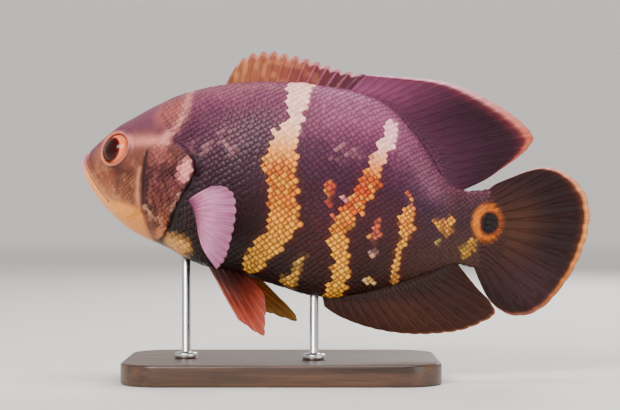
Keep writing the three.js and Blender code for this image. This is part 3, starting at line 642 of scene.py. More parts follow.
def recalculate(piece, join_within=0.0):
    """Turns a closed mesh's faces outwards, after joining points that meet where a distance is given."""
    work = bmesh.new()
    work.from_mesh(piece.data)
    if join_within:
        bmesh.ops.remove_doubles(work, verts=work.verts, dist=join_within)
    bmesh.ops.recalc_face_normals(work, faces=work.faces)
    work.to_mesh(piece.data)
    work.free()


def set_paint(mesh, rgb):
    """Keeps colours on a mesh's points."""
    rgba = np.ones((len(mesh.vertices), 4), np.float32)
    rgba[:, :3] = np.clip(PAINT_GAIN * np.clip(rgb, 0, 1) ** PAINT_POWER, 0, 1)
    layer = mesh.attributes.new("paint", "FLOAT_COLOR", "POINT")
    layer.data.foreach_set("color", rgba.ravel())


def set_one_colour(mesh, code):
    set_paint(mesh, np.tile(linear(code), (len(mesh.vertices), 1)))


def set_vectors(mesh, name, values):
    layer = mesh.attributes.new(name, "FLOAT_VECTOR", "POINT")
    layer.data.foreach_set("vector", np.asarray(values, np.float32).ravel())


def set_number(mesh, name, values):
    layer = mesh.attributes.new(name, "FLOAT", "POINT")
    layer.data.foreach_set("value", np.asarray(values, np.float32).ravel())


def grid_faces(columns, rows, first=0, flip=False):
    """Triangles over a grid of points stored column by column."""
    faces = []
    for j in range(columns - 1):
        for i in range(rows - 1):
            a, b = first + j * rows + i, first + (j + 1) * rows + i
            pair = [(a, b, b + 1), (a, b + 1, a + 1)]
            faces += [face[::-1] for face in pair] if flip else pair
    return faces


def ring_faces(rings, count, first=0, flip=False, closed=False):
    """Four-sided faces between closed rings of points, also from the last to the first where closed."""
    faces = []
    for i in range(rings if closed else rings - 1):
        a, b = first + i * count, first + (i + 1) % rings * count
        for j in range(count):
            k = (j + 1) % count
            faces.append((a + j, b + j, b + k, a + k) if flip else (a + j, a + k, b + k, b + j))
    return faces


def fan_faces(tip, first, count, flip=False):
    """Triangles from one point to a closed ring."""
    faces = []
    for j in range(count):
        a, b = first + j, first + (j + 1) % count
        faces.append((tip, b, a) if flip else (tip, a, b))
    return faces


def circle(count):
    """The cosine and sine of evenly spaced turns."""
    turns = 2 * np.pi * np.arange(count) / count
    return list(zip(np.cos(turns), np.sin(turns)))


def set_inputs(tree, node, inputs):
    """Gives a node's inputs their values, or links them where the value is another node's output."""
    for socket, value in inputs.items():
        if isinstance(value, bpy.types.NodeSocket):
            tree.links.new(value, node.inputs[socket])
        else:
            node.inputs[socket].default_value = value


def add_node(tree, kind, inputs=None, **settings):
    """The outputs of a new node."""
    node = tree.nodes.new(kind)
    for setting, value in settings.items():
        setattr(node, setting, value)
    set_inputs(tree, node, inputs or {})
    return node.outputs


def new_material(name, inputs):
    """A material with its tree and shader, whose even values are set on the shader's own sockets."""
    material = bpy.data.materials.new(name)
    material.use_nodes = True
    shader = material.node_tree.nodes["Principled BSDF"]
    set_inputs(material.node_tree, shader, inputs)
    return material, material.node_tree, shader


def noise_node(tree, scale, detail, roughness=0.55, stretch=None):
    """Noise in the object's own space."""
    place = add_node(tree, "ShaderNodeTexCoord")["Object"]
    if stretch:
        place = add_node(tree, "ShaderNodeMapping", {"Vector": place, "Scale": stretch})["Vector"]
    inputs = {"Vector": place, "Scale": scale, "Detail": detail, "Roughness": roughness}
    return add_node(tree, "ShaderNodeTexNoise", inputs)["Fac"]


def layer_node(tree, name):
    return add_node(tree, "ShaderNodeAttribute", attribute_name=name)


def between(tree, source, low, high, start=0.3, end=0.7):
    """A number carried from one range to another."""
    inputs = {"Value": source, "From Min": start, "From Max": end, "To Min": low, "To Max": high}
    return add_node(tree, "ShaderNodeMapRange", inputs)["Result"]


def math_node(tree, operation, first, second=0.0):
    return add_node(tree, "ShaderNodeMath", {0: first, 1: second}, operation=operation)["Value"]


def tinted(tree, colour, factor):
    """A colour, or any row of three numbers, scaled by a number."""
    return add_node(tree, "ShaderNodeVectorMath", {0: colour, "Scale": factor}, operation="SCALE")["Vector"]


def bumped(tree, height, depth, strength=1.0):
    """A surface's direction with fine relief, its depth in metres."""
    inputs = {"Height": height, "Distance": depth, "Strength": strength}
    return add_node(tree, "ShaderNodeBump", inputs)["Normal"]


# Wet painted finishes: roughness, coat, scale of the mottle, scale and depth of the relief, and the lines
# that are cut into it, as the layer that they follow, their number of turns and their share
PAINTED = {
    "wet_skin": (0.42, 0.12, 210.0, 1500.0, 0.0002, None),
    "scales": (0.36, 0.12, 260.0, 1900.0, 0.0001, ("ring", 46.0, 0.2)),
    "fin_membrane": (0.45, 0.08, 180.0, 1300.0, 0.00012, ("joint", 6.2, 0.35)),
}


def painted_material(name):
    roughness, coat, mottle_scale, relief_scale, depth, lines = PAINTED[name]
    inputs = {"Coat Weight": coat, "Coat Roughness": 0.2, "IOR": 1.28}
    material, tree, shader = new_material(name, inputs)
    mottle = noise_node(tree, mottle_scale, 5.0)
    height = noise_node(tree, relief_scale, 3.0)
    if lines:
        layer, turns, share = lines
        waves = math_node(tree, "SINE", math_node(tree, "MULTIPLY", layer_node(tree, layer)["Fac"], turns))
        height = math_node(tree, "ADD", height, math_node(tree, "MULTIPLY", waves, share))
    paint = layer_node(tree, "paint")["Color"]
    set_inputs(tree, shader, {
        "Base Color": tinted(tree, paint, between(tree, mottle, 0.86, 1.14)),
        "Roughness": between(tree, mottle, roughness - 0.07, roughness + 0.09),
        "Normal": bumped(tree, height, depth),
    })
    return material


def eye_material():
    inputs = {"Roughness": 0.16, "Coat Weight": 0.12, "Coat Roughness": 0.05, "IOR": 1.25}
    material, tree, shader = new_material("eye", inputs)
    tone = between(tree, noise_node(tree, 900.0, 3.0), 0.8, 1.2)
    set_inputs(tree, shader, {"Base Color": tinted(tree, layer_node(tree, "paint")["Color"], tone)})
    return material


def wood_material():
    inputs = {"Coat Weight": 0.25, "Coat Roughness": 0.25, "IOR": 1.5}
    material, tree, shader = new_material("dark_walnut", inputs)
    grain = noise_node(tree, 34.0, 6.0, 0.62, (0.35, 6.0, 6.0))
    pores = noise_node(tree, 260.0, 3.0, 0.5, (0.16, 4.0, 4.0))
    stops = tree.nodes.new("ShaderNodeValToRGB")
    for element, place, code in zip(stops.color_ramp.elements, (0.3, 0.7), ("#2b180f", "#5a3a24")):
        element.position = place
        element.color = (*linear(code), 1)
    set_inputs(tree, stops, {"Fac": grain})
    dark = between(tree, pores, 0.72, 1.05, 0.35, 0.55)
    set_inputs(tree, shader, {
        "Base Color": tinted(tree, stops.outputs["Color"], dark),
        "Roughness": between(tree, grain, 0.34, 0.5),
        "Normal": bumped(tree, pores, 0.0003, 0.5),
    })
    return material


def steel_material():
    inputs = {"Base Color": (0.62, 0.63, 0.65, 1), "Metallic": 1.0, "Anisotropic": 0.4}
    material, tree, shader = new_material("brushed_steel", inputs)
    brushing = noise_node(tree, 500.0, 3.0, 0.5, (1.0, 1.0, 0.05))
    set_inputs(tree, shader, {
        "Roughness": between(tree, brushing, 0.2, 0.34),
        "Normal": bumped(tree, brushing, 0.00005, 0.5),
    })
    return material


def stage_material():
    """Pale paper whose far wall glows a little, so that it stays pale away from the lamps."""
    inputs = {"Base Color": (*linear("#d9d5d0"), 1), "Emission Color": (*linear("#dcdad8"), 1),
              "Roughness": 0.85}
    material, tree, shader = new_material("pale_paper", inputs)
    place = add_node(tree, "ShaderNodeTexCoord")["Object"]
    length = add_node(tree, "ShaderNodeVectorMath", {0: place}, operation="LENGTH")["Value"]
    set_inputs(tree, shader, {"Emission Strength": between(tree, length, 0.0, 0.42, 0.8, 3.6)})
    return material


def dress(piece, material, slot, *nodes):
    """Gives a piece its finish and its place on the body, and hides the nodes that it stands for."""
    if not piece.data.materials:
        piece.data.materials.append(material)
    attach(piece, "root")
    if nodes:
        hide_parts(*nodes)


# The skin

# Runs of stations along the skin, and the points round each
SKIN_RUNS = [(0, 30, 84), (30, 84, 96), (84, STANDARD_LENGTH, 120)]
SKIN_AROUND = 260
MUZZLE = 1.1
MUZZLE_RINGS = (0.08, 0.3, 0.5, 0.68, 0.84, 0.95)


def make_skin(material):
    last_run = len(SKIN_RUNS) - 1
    stations = np.concatenate([np.linspace(*run, endpoint=i == last_run) for i, run in enumerate(SKIN_RUNS)])
    angles = (np.arange(SKIN_AROUND) + 0.5) / SKIN_AROUND * 2 * np.pi
    s, a = [grid.ravel() for grid in np.meshgrid(stations, angles, indexing="ij")]
    points = skin_at(s, a)
    # The muzzle closes over a few shrinking rings ahead of the first station
    first = points[:SKIN_AROUND]
    centre = first.mean(axis=0)
    cap = []
    for share in MUZZLE_RINGS:
        ring = centre + (first - centre) * share
        ring[:, 0] = first[:, 0].mean() - MUZZLE * math.sqrt(1 - share**2)
        cap.append(ring)
    points = np.vstack([*cap, points, centre - (MUZZLE, 0, 0), (STANDARD_LENGTH + 0.4, 0, 0)])
    rings = len(cap) + len(stations)
    nose, tail = rings * SKIN_AROUND, rings * SKIN_AROUND + 1
    faces = skin_faces(rings, SKIN_AROUND)
    faces += fan_faces(nose, 0, SKIN_AROUND, flip=True)
    faces += fan_faces(tail, (rings - 1) * SKIN_AROUND, SKIN_AROUND)
    piece = mesh_object("skin", pose(points), faces)
    set_paint(piece.data, body_paint(points[:, 0], points[:, 1], points[:, 2]))
    dress(piece, material, "skin", "head", "lower_jaw", "trunk", "tail_stalk",
          "gill_cover_left", "gill_cover_right")


def skin_faces(rings, around):
    """Triangles round the body whose long edges run down and back, along the line of the mouth."""
    faces = []
    for i in range(rings - 1):
        for j in range(around):
            k = (j + 1) % around
            a, b = i * around + j, i * around + k
            c, d = a + around, b + around
            left = around / 4 <= j < around * 3 / 4
            faces += [(a, c, d), (a, d, b)] if left else [(a, c, b), (b, c, d)]
    return faces


def ring_mesh(name, at, long, tall, out, half_long, half_tall, tube, around=72, sides=14):
    """A soft oval ring lying in a plane of the straight fish."""
    points = []
    for c, v in circle(around):
        centre = at + long * half_long * c + tall * half_tall * v
        outward = unit(long * c + tall * v)
        for out_share, up_share in circle(sides):
            points.append(centre + (outward * out_share + out * up_share) * tube)
    points = np.array(points)
    piece = mesh_object(name, pose(points), ring_faces(around, sides, flip=True, closed=True))
    recalculate(piece)
    return piece, points


def cup_mesh(name, at, long, tall, out, radius, around=24):
    """A shallow closed cup, dark inside the nostril."""
    points = [at - out * 0.25]
    points += [at + (long * c + tall * v) * radius for c, v in circle(around)]
    points.append(at - out * 0.9)
    faces = fan_faces(0, 1, around) + fan_faces(around + 1, 1, around, flip=True)
    piece = mesh_object(name, pose(np.array(points)), faces)
    recalculate(piece)
    return piece


def make_nostrils(material):
    radius = NOSTRIL["radius"]
    for side, name in ((LEFT, "left"), (RIGHT, "right")):
        s, w = np.array([NOSTRIL["s"]], float), np.array([NOSTRIL["w"]], float)
        at, out, along = (row[0] for row in skin_frame(s, angle_at(s, w, side)))
        tall = np.cross(out, along)
        rim, _ = ring_mesh(f"nostril_{name}", at + out * 0.1, along, tall, out, radius, radius * 0.85,
                           NOSTRIL["thick"], 28, 10)
        hollow = cup_mesh(f"nostril_hollow_{name}", at + out * 0.12, along, tall, out, radius * 0.9)
        # The hollow's near black is painted shade inside the nostril pit
        for piece, code in ((rim, "#8a6068"), (hollow, "#1a0c0e")):
            set_one_colour(piece.data, code)
            dress(piece, material, "face")


# The eyes

# Colours by the angle from the direction of gaze: the pupil, its rim, the iris and the hidden back
EYE_RAMP = [(0, "#330806"), (38, "#400a06"), (45, "#56130a"), (48.5, "#8a3a20"), (51, "#df9064"),
            (56, "#dc845c"), (66, "#d47c5a"), (73, "#bc6c50"), (82, "#5c2c24"), (180, "#2c1412")]


def make_eye(side, name, material, lid_material):
    at, long, tall, out = EYE_AXES[side]
    centre = at + out * (EYE["bulge"] - EYE["depth"])
    rings, around = 72, 96
    points, tilt = [], []
    forward, down = math.radians(GAZE_FORWARD), math.radians(GAZE_DOWN)
    gaze = unit(np.array([-math.sin(forward), -math.sin(down), 1.0]))
    for i in range(rings + 1):
        polar = math.pi * i / rings
        for c, v in circle(around):
            x, y, z = math.sin(polar) * c, math.sin(polar) * v, math.cos(polar)
            away = math.degrees(math.acos(max(-1, min(1, np.dot(gaze, (x, y, z))))))
            swell = 1 + 0.035 * ridge(away, 0, 32) - 0.02 * ridge(away, 48, 8)
            reach = long * EYE["long"] * x + tall * EYE["tall"] * y + out * EYE["depth"] * z
            points.append(centre + reach * swell)
            tilt.append((away, math.degrees(math.atan2(y, x))))
    piece = mesh_object(f"eyeball_{name}", pose(np.array(points)), ring_faces(rings + 1, around))
    recalculate(piece, join_within=1e-7)
    piece.data.polygons.foreach_set("use_smooth", np.full(len(piece.data.polygons), True))
    away, turn = np.array(tilt).T
    rays = 0.5 + 0.5 * np.sin(np.radians(turn) * 41 + 3 * np.sin(np.radians(turn) * 7))
    rgb = ramp(away, EYE_RAMP)
    iris = ease((away - 49) / 3)
    rgb = lay(rgb, "#b5603c", 0.3 * rays * iris)
    rgb = lay(rgb, "#8a4c30", 0.6 * iris * ease((np.cos(np.radians(turn - 185)) - 0.2) / 0.5))
    set_paint_by_point(piece, np.array(points), rgb)
    dress(piece, material, "eye", f"eye_{name}")
    rim, ring_points = ring_mesh(f"eye_rim_{name}", at - out * 0.35, long, tall, out, ORBIT["long"] * 0.995,
                                 ORBIT["tall"] * 0.995, 1.0)
    inner = np.linalg.norm(ring_points - at, axis=1)
    base = body_paint(ring_points[:, 0], ring_points[:, 1], ring_points[:, 2])
    set_paint(rim.data, lay(base, "#d98f7c", 0.75 * ease((11.4 - inner) / 2)))
    dress(rim, lid_material, "face")


def set_paint_by_point(piece, points, rgb):
    """Paints a mesh some of whose points were joined, by the nearest of its first points."""
    placed = pose(points)
    tree = KDTree(len(placed))
    for i, point in enumerate(placed):
        tree.insert(point, i)
    tree.balance()
    order = [tree.find(vertex.co)[1] for vertex in piece.data.vertices]
    set_paint(piece.data, rgb[order])


# The fins

def fin_grid(rays, per_ray, rows, column, notch):
    """Middle points of a fin, with the share across it, up it, and across each ray's own strip."""
    t = np.linspace(0, 1, rays * per_ray + 1)
    strip = (np.arange(len(t)) % per_ray) / per_ray
    root, tip = column(t)
    v = np.linspace(0, 1, rows + 1)
    valley = np.abs(2 * strip - 1) ** 2
    edge = np.minimum(t, 1 - t) * rays
    reach = 1 - notch * valley * ease(edge * 2)
    share = v[None, :] * reach[:, None]
    middle = root[:, None] + (tip - root)[:, None] * share[..., None]
    return t, v, strip, middle


def ray_profile(strip, v, branch, width):
    """Height of a ray across its strip, splitting in two and then in four towards its tip."""
    first = 0.17 * branch * ease((v - 0.32) / 0.4)
    second = 0.075 * branch * ease((v - 0.66) / 0.3)
    height = np.zeros(np.broadcast(strip, v).shape)
    for a in (-1, 1):
        for b in (-1, 1):
            centre = 0.5 + a * first + b * second
            height = np.maximum(height, ridge(strip, centre, width * (1 - 0.45 * v)))
    return height


# The measure that grows from a ray's root to its tip, and that its fine cross lines follow
RAY_JOINTS = 28.0


def fin_piece(name, rays, rows, column, colour, material, slot, node, ray_thick=1.3, notch=0.0,
              bulge=None, branch=1.0, width=0.13, per_ray=16, tip_thick=0.16):
    """A fin of one sheet, thick along its rays, replacing one node."""
    t, v, strip, middle = fin_grid(rays, per_ray, rows, column, notch)
    across = np.gradient(middle, axis=0)
    up = np.gradient(middle, axis=1)
    normal = unit(np.cross(across, up))
    tt, vv, ss = t[:, None], v[None, :], strip[:, None]
    if bulge:
        middle = middle + normal * bulge(tt, vv)[..., None]
    profile = ray_profile(ss, vv, branch, width)
    half = 0.5 * (MEMBRANE * (1 - 0.35 * vv) + (ray_thick * (1 - vv) ** 0.8 + tip_thick) * profile)
    faces_of = [middle + normal * half[..., None], middle - normal * half[..., None]]
    columns, count = middle.shape[:2]
    points = np.concatenate([side.reshape(-1, 3) for side in faces_of])
    faces = grid_faces(columns, count) + grid_faces(columns, count, columns * count, flip=True)
    rim = [(j, 0) for j in range(columns - 1)] + [(columns - 1, i) for i in range(count - 1)]
    rim += [(j, count - 1) for j in range(columns - 1, 0, -1)] + [(0, i) for i in range(count - 1, 0, -1)]
    index = [j * count + i for j, i in rim]
    under = columns * count
    for a, b in zip(index, index[1:] + index[:1]):
        faces += [(a, a + under, b + under), (a, b + under, b)]
    piece = mesh_object(name, pose(points), faces)
    rgb = colour(tt + 0 * vv, vv + 0 * tt, profile, middle[..., 0], middle[..., 2])
    set_paint(piece.data, np.concatenate([rgb.reshape(-1, 3)] * 2))
    joint = (vv * RAY_JOINTS + 0 * tt) * profile
    set_number(piece.data, "joint", np.concatenate([joint.ravel()] * 2))
    dress(piece, material, slot, node)


def median_column(span, root_line, sink, edge):
    """The root and tip of each ray of a fin on the midline, by its share of the way along the fin."""
    edge_at = curve_through(edge)

    def column(t):
        s = mix(span[0], span[1], t)
        root = np.stack([s, 0 * s, root_line(s) + sink], axis=-1)
        rim = edge_at(t)
        return root, np.stack([rim[:, 0], 0 * t, rim[:, 1]], axis=-1)

    return column


def tail_column():
    edge_at = curve_through(CAUDAL_EDGE)

    def column(t):
        rim = edge_at(t)
        root = np.stack([0 * t + STANDARD_LENGTH - CAUDAL_SINK, 0 * t, mix(*CAUDAL_ROOT, t)], axis=-1)
        return root, np.stack([rim[:, 0], 0 * t, rim[:, 1]], axis=-1)

    return column


def wave(height, turns):
    """A fin's sideways wave, growing towards its free edge."""
    def bulge(t, v):
        return height * v * v * np.sin(t * np.pi * turns)

    return bulge


def bow(height):
    """A fin's even bulge to one side."""
    def bulge(t, v):
        return height * np.sin(v * np.pi) + 0 * t

    return bulge


def free_edge(v, width, reach):
    """One at a fin's free edge, fading out over width, a length in millimetres on rays reach long."""
    return ease((width - (1 - v) * reach) / (0.55 * width))


def spiny_colour(t, v, profile, s, w):
    rgb = ramp(t, [(0, "#8f5c3c"), (0.3, "#94553c"), (0.55, "#7d3d38"), (0.8, "#5e2632"), (1, "#56263c")])
    rgb = lay(rgb, "#b9815a", 0.6 * ease((patches(s, w, 3.4, 21) - 0.45) / 0.25) * (1 - 0.8 * t))
    spine = ramp(t, [(0, "#a9704e"), (0.4, "#b07464"), (0.7, "#b07084"), (0.92, "#a8688a"), (1, "#64304c")])
    rgb = lay(rgb, spine, 0.7 * profile)
    edge = ramp(t, [(0, "#b98468"), (0.5, "#c98f88"), (1, "#dda9b4")])
    return lay(rgb, edge, 0.7 * free_edge(v, 2.0, FIN_REACH["spiny"]) * ease((0.985 - t) / 0.03))


def soft_dorsal_colour(t, v, profile, s, w):
    rgb = ramp(v, [(0, "#64304c"), (0.25, "#4c223c"), (0.6, "#3a162b"), (1, "#341022")])
    rgb = lay(rgb, "#8c4c6e", 0.8 * ease((0.55 - t) / 0.45))
    rgb = lay(rgb, "#7a4460", 0.22 * profile * (1 - 0.5 * v))
    edge = ramp(t, [(0, "#e3abc4"), (0.25, "#efbcd2"), (0.5, "#dc9c98"), (0.72, "#c9735a"), (1, "#a05a50")])
    width = np.interp(t, [0, 0.2, 0.45, 0.7, 0.85, 1], [2.2, 4.6, 5.4, 5.2, 2.2, 0.8])
    rgb = lay(rgb, "#7d3440", 0.6 * free_edge(v, 2.0 * width, FIN_REACH["soft"]))
    return lay(rgb, edge, 0.95 * free_edge(v, width, FIN_REACH["soft"]))


def caudal_colour(t, v, profile, s, w):
    rgb = ramp(v, [(0, "#4a2628"), (0.25, "#40201d"), (0.6, "#2e1012"), (1, "#2a0e0c")])
    rgb = lay(rgb, "#5c3446", 0.5 * ease((0.3 - t) / 0.25) * (1 - v))
    rgb = lay(rgb, "#603e20", 0.5 * blob(s, w, 258, 3, 13, 16, 0.9))
    # This purplish blob low on the rear of the tail is a painted reflection
    rgb = lay(rgb, "#54303e", 0.45 * blob(s, w, 272, -26, 14, 12, 0.9))
    rgb = lay(rgb, "#5e352a", 0.16 * profile)
    edge = ramp(t, [(0, "#c596a2"), (0.14, "#e5b4b4"), (0.3, "#e2a27c"), (0.48, "#df9c58"), (0.62, "#cf8848"),
                    (0.78, "#a8705c"), (0.9, "#9a6a5c"), (1, "#6a4438")])
    width = np.interp(t, [0, 0.1, 0.3, 0.5, 0.7, 0.85, 1], [1.6, 2.8, 3.6, 3.2, 2.4, 2.0, 1.0])
    rgb = lay(rgb, "#7a3a1c", 0.5 * free_edge(v, 1.9 * width, FIN_REACH["tail"]))
    rgb = lay(rgb, edge, 0.95 * free_edge(v, width, FIN_REACH["tail"]))
    rgb = lay(rgb, "#c596a2", 0.6 * ease((0.02 - t) / 0.02))
    return tail_spot_paint(rgb, s, w)


def anal_colour(t, v, profile, s, w):
    rgb = ramp(v, [(0, "#3a1c17"), (0.4, "#3a1813"), (1, "#42200f")])
    rgb = lay(rgb, "#5e3a26", 0.4 * blob(s, w, 200, -56, 22, 9, 0.9))
    rgb = lay(rgb, "#5e352a", 0.16 * profile)
    return lay(rgb, "#b5724c", 0.8 * free_edge(v, 1.3, FIN_REACH["anal"]) * ease((t - 0.2) / 0.3))


def pectoral_colour(t, v, profile, s, w):
    rgb = ramp(v, [(0, "#8a4460"), (0.25, "#b87496"), (0.65, "#ce8fb0"), (1, "#a9708e")])
    rgb = lay(rgb, "#e2b0ca", 0.35 * profile)
    rgb = lay(rgb, "#96587a", 0.6 * ease((v - 0.55) / 0.4) * (1 - 0.6 * profile))
    return lay(rgb, "#e0a6c2", 0.5 * ease((0.45 - t) / 0.4) * ease((v - 0.3) / 0.4) * ease((0.95 - v) / 0.2))


def near_pelvic_colour(t, v, profile, s, w):
    rgb = ramp(v, [(0, "#2c0f0a"), (0.3, "#43180d"), (0.55, "#7a2e1a"), (0.8, "#a44c36"), (1, "#b8685c")])
    rgb = lay(rgb, "#b96a5c", 0.25 * profile)
    return lay(rgb, "#c48478", 0.7 * ease((0.1 - t) / 0.1) * ease((v - 0.2) / 0.3))


def far_pelvic_colour(t, v, profile, s, w):
    rgb = ramp(v, [(0, "#4a221a"), (0.3, "#74381e"), (0.55, "#96561f"), (0.8, "#86601f"), (1, "#9a7634")])
    return lay(rgb, "#9c6448", 0.25 * profile)


def pectoral_column(side):
    root_at = curve_through(PECTORAL_ROOT)
    tip_at = curve_through(PECTORAL_TIPS)

    def column(t):
        r, tip = root_at(t), tip_at(t)
        a = angle_at(r[:, 0], r[:, 1], side)
        root = flesh_at(r[:, 0], a) - flesh_normal(r[:, 0], a) * PECTORAL_SINK
        return root, tip * (1, side, 1)

    return column


def pelvic_column(side):
    tip_at = curve_through(PELVIC_TIPS[side])
    front, rear = PELVIC_ROOT["front"], PELVIC_ROOT["back"]

    def column(t):
        s, l = mix(front[0], rear[0], t), mix(front[1], rear[1], t)
        return np.stack([s, l * side, belly(s) + PELVIC_SINK], axis=-1), tip_at(t) * (1, side, 1)

    return column


def scaled_fins():
    """The fins with scales on their bases: the places of their rays, their waves and their colours."""
    soft = median_column(DORSAL_SOFT_SPAN, back, -FIN_SINK, SOFT_EDGE)
    anal = median_column(ANAL_SPAN, belly, FIN_SINK, ANAL_EDGE)
    return {
        "soft": (soft, wave(*FIN_WAVE["soft"]), soft_dorsal_colour),
        "anal": (anal, wave(*FIN_WAVE["anal"]), anal_colour),
        "tail": (tail_column(), wave(*FIN_WAVE["tail"]), caudal_colour),
    }


def make_fins(material):
    spiny = median_column(DORSAL_SPINY_SPAN, back, -FIN_SINK, SPINY_EDGE)
    fin_piece("dorsal_spines", DORSAL_SPINES, 22, spiny, spiny_colour, material, "fin", "dorsal_fin_spiny",
              ray_thick=1.15, notch=0.13, branch=0.0, width=0.15, per_ray=14, tip_thick=0.3)
    fins = scaled_fins()
    for fin, name, node, rays, rows, thick, notch in (
            ("soft", "dorsal_soft_rays", "dorsal_fin_soft", DORSAL_SOFT_RAYS, 34, 0.65, 0.008),
            ("anal", "anal_rays", "anal_fin", ANAL_RAYS, 28, 0.8, 0.012),
            ("tail", "tail_rays", "caudal_fin", CAUDAL_RAYS, 34, 0.8, 0.008)):
        column, bulge, colour = fins[fin]
        fin_piece(name, rays, rows, column, colour, material, "fin", node, ray_thick=thick, notch=notch,
                  bulge=bulge)
    for side, name, colour in ((LEFT, "left", near_pelvic_colour), (RIGHT, "right", far_pelvic_colour)):
        fin_piece(f"pectoral_rays_{name}", PECTORAL_RAYS, 26, pectoral_column(side), pectoral_colour,
                  material, "paddle", f"pectoral_fin_{name}", ray_thick=0.9, notch=0.03,
                  bulge=bow(-2.4 * side))
        fin_piece(f"pelvic_rays_{name}", PELVIC_RAYS, 30, pelvic_column(side), colour, material, "pelvic",
                  f"pelvic_fin_{name}", ray_thick=1.2, notch=0.03, bulge=bow(1.5 * side), per_ray=20,
                  width=0.11)


# The scales

def scale_template():
    """One scale a unit long and wide: its root is at 0, its free rear edge at 1, its face up +Z."""
    segments = 12
    radii = (0.5, 0.82, 1.0)

    def place(radius, c, v, drop):
        x = 0.5 + 0.5 * radius * c
        y = 0.5 * radius * v * (1 - 0.12 * c)
        return (x, y, mix(-0.11, 0.06, x) + 0.05 * (1 - radius**2) - drop)

    points, ring = [place(0, 1, 0, 0)], [0.0]
    for radius, drop in [(radius, 0) for radius in radii] + [(1.0, 0.05)]:
        points += [place(radius, c, v, drop) for c, v in circle(segments)]
        ring += [radius] * segments
    points.append(place(0, 1, 0, 0.12))
    ring.append(0.0)
    under = len(points) - 1
    faces = fan_faces(0, 1, segments)
    faces += ring_faces(len(radii) + 1, segments, first=1, flip=True)
    faces += fan_faces(under, under - segments, segments, flip=True)
    piece = mesh_object("scale_pattern", points, faces)
    set_number(piece.data, "ring", ring)
    set_number(piece.data, "reach", [p[0] for p in points])
    set_number(piece.data, "side", [p[1] for p in points])
    return piece


def scale_tree():
    """Lays a scale on each point, facing and pointing the way the point's attributes say."""
    tree = bpy.data.node_groups.new("lay_scales", "GeometryNodeTree")
    sockets = tree.interface
    for direction in ("INPUT", "OUTPUT"):
        sockets.new_socket("Geometry", in_out=direction, socket_type="NodeSocketGeometry")
    names = {}
    for name, kind in (("Scale", "Object"), ("Size", "Float"), ("Unevenness", "Float"), ("Twist", "Float"),
                       ("Seed", "Int"), ("Finish", "Material")):
        names[name] = sockets.new_socket(name, in_out="INPUT", socket_type=f"NodeSocket{kind}").identifier
    given = add_node(tree, "NodeGroupInput")

    def layer(name):
        node = add_node(tree, "GeometryNodeInputNamedAttribute", {"Name": name}, data_type="FLOAT_VECTOR")
        return node["Attribute"]

    def random_about(low, high, offset):
        node = tree.nodes.new("FunctionNodeRandomValue")
        node.data_type = "FLOAT"
        tree.links.new(math_node(tree, "ADD", given["Seed"], offset), node.inputs["Seed"])
        for value, socket in ((low, "Min"), (high, "Max")):
            tree.links.new(value, next(s for s in node.inputs if s.name == socket and s.type == "VALUE"))
        return next(s for s in node.outputs if s.type == "VALUE")

    axes = {"Primary Axis": layer("facing"), "Secondary Axis": layer("tailward")}
    turn = add_node(tree, "FunctionNodeAxesToRotation", axes, primary_axis="Z", secondary_axis="X")
    less = math_node(tree, "SUBTRACT", 1.0, given["Unevenness"])
    more = math_node(tree, "ADD", 1.0, given["Unevenness"])
    share = math_node(tree, "MULTIPLY", random_about(less, more, 0), given["Size"])
    laid = add_node(tree, "GeometryNodeInstanceOnPoints", {
        "Points": given["Geometry"],
        "Instance": add_node(tree, "GeometryNodeObjectInfo", {"Object": given["Scale"]})["Geometry"],
        "Rotation": turn["Rotation"],
        "Scale": tinted(tree, layer("size"), share),
    })["Instances"]
    back_twist = math_node(tree, "MULTIPLY", given["Twist"], -1.0)
    angle = random_about(back_twist, given["Twist"], 1)
    twist = add_node(tree, "ShaderNodeCombineXYZ", {"Z": angle})["Vector"]
    spun = add_node(tree, "GeometryNodeRotateInstances", {"Instances": laid, "Rotation": twist})["Instances"]
    real = add_node(tree, "GeometryNodeRealizeInstances", {"Geometry": spun})["Geometry"]
    done = add_node(tree, "GeometryNodeSetMaterial", {"Geometry": real, "Material": given["Finish"]})
    add_node(tree, "NodeGroupOutput", {"Geometry": done["Geometry"]})
    return tree, names


def half_ring(s, side, samples=160):
    """Angles down one side of a station, with the distance over the skin from its widest level."""
    turn = np.linspace(-0.5, 0.5, samples) * np.pi
    a = turn if side == RIGHT else np.pi - turn
    run = flesh_at(np.full(samples, float(s)), a)
    length = np.concatenate([[0], np.cumsum(np.linalg.norm(np.diff(run, axis=0), axis=1))])
    return a, length - np.interp(0, turn, length)


def flank_places(side):
    """Stations, angles and sizes of the scales on one side, in staggered rows."""
    column_pitch, row_pitch = smooth_through(SCALE_COLUMN_PITCH), smooth_through(SCALE_ROW_PITCH)
    places = []
    s, odd = 41.0, 0
    while s < STANDARD_LENGTH - 1:
        step, row = float(column_pitch(s)), float(row_pitch(s))
        a, run = half_ring(s, side)
        count = int(max(-run[0], run[-1]) / row) + 1
        for k in range(-count, count + 1):
            d = (k + 0.5 * odd) * row
            if d < run[0] + 0.8 or d > run[-1] - 0.8:
                continue
            angle = float(np.interp(d, run, a))
            places.append((s, angle, step * SCALE_LONG, row * SCALE_WIDE))
        s += step * 0.5
        odd = 1 - odd
    return places


def trunk_depth(s, w):
    """How far inside the scaled trunk and nape a place lies, negative on the bare face and gill covers."""
    face_line = np.interp(w, [-60, -36, 10, 20, 32, 45, 60], [60, 64, 77, 64, 50, 44, 44])
    return np.minimum(s - face_line, -in_gill_cover(s, w) - 1.2)


def cover_depth(s, w):
    return np.minimum(in_gill_cover(s, w) - 0.6, w + 29)


def cheek_depth(s, w):
    edge = np.interp(w, [point[1] for point in CHEEK_EDGE[::-1]], [point[0] for point in CHEEK_EDGE[::-1]])
    eye = np.hypot(s - EYE["s"], w - EYE["w"]) - 14.0
    low = w + 20 - (47 - s) * 0.3
    return np.min([edge - 2.8 - s, eye, low, 13 - w, s - 27], axis=0)


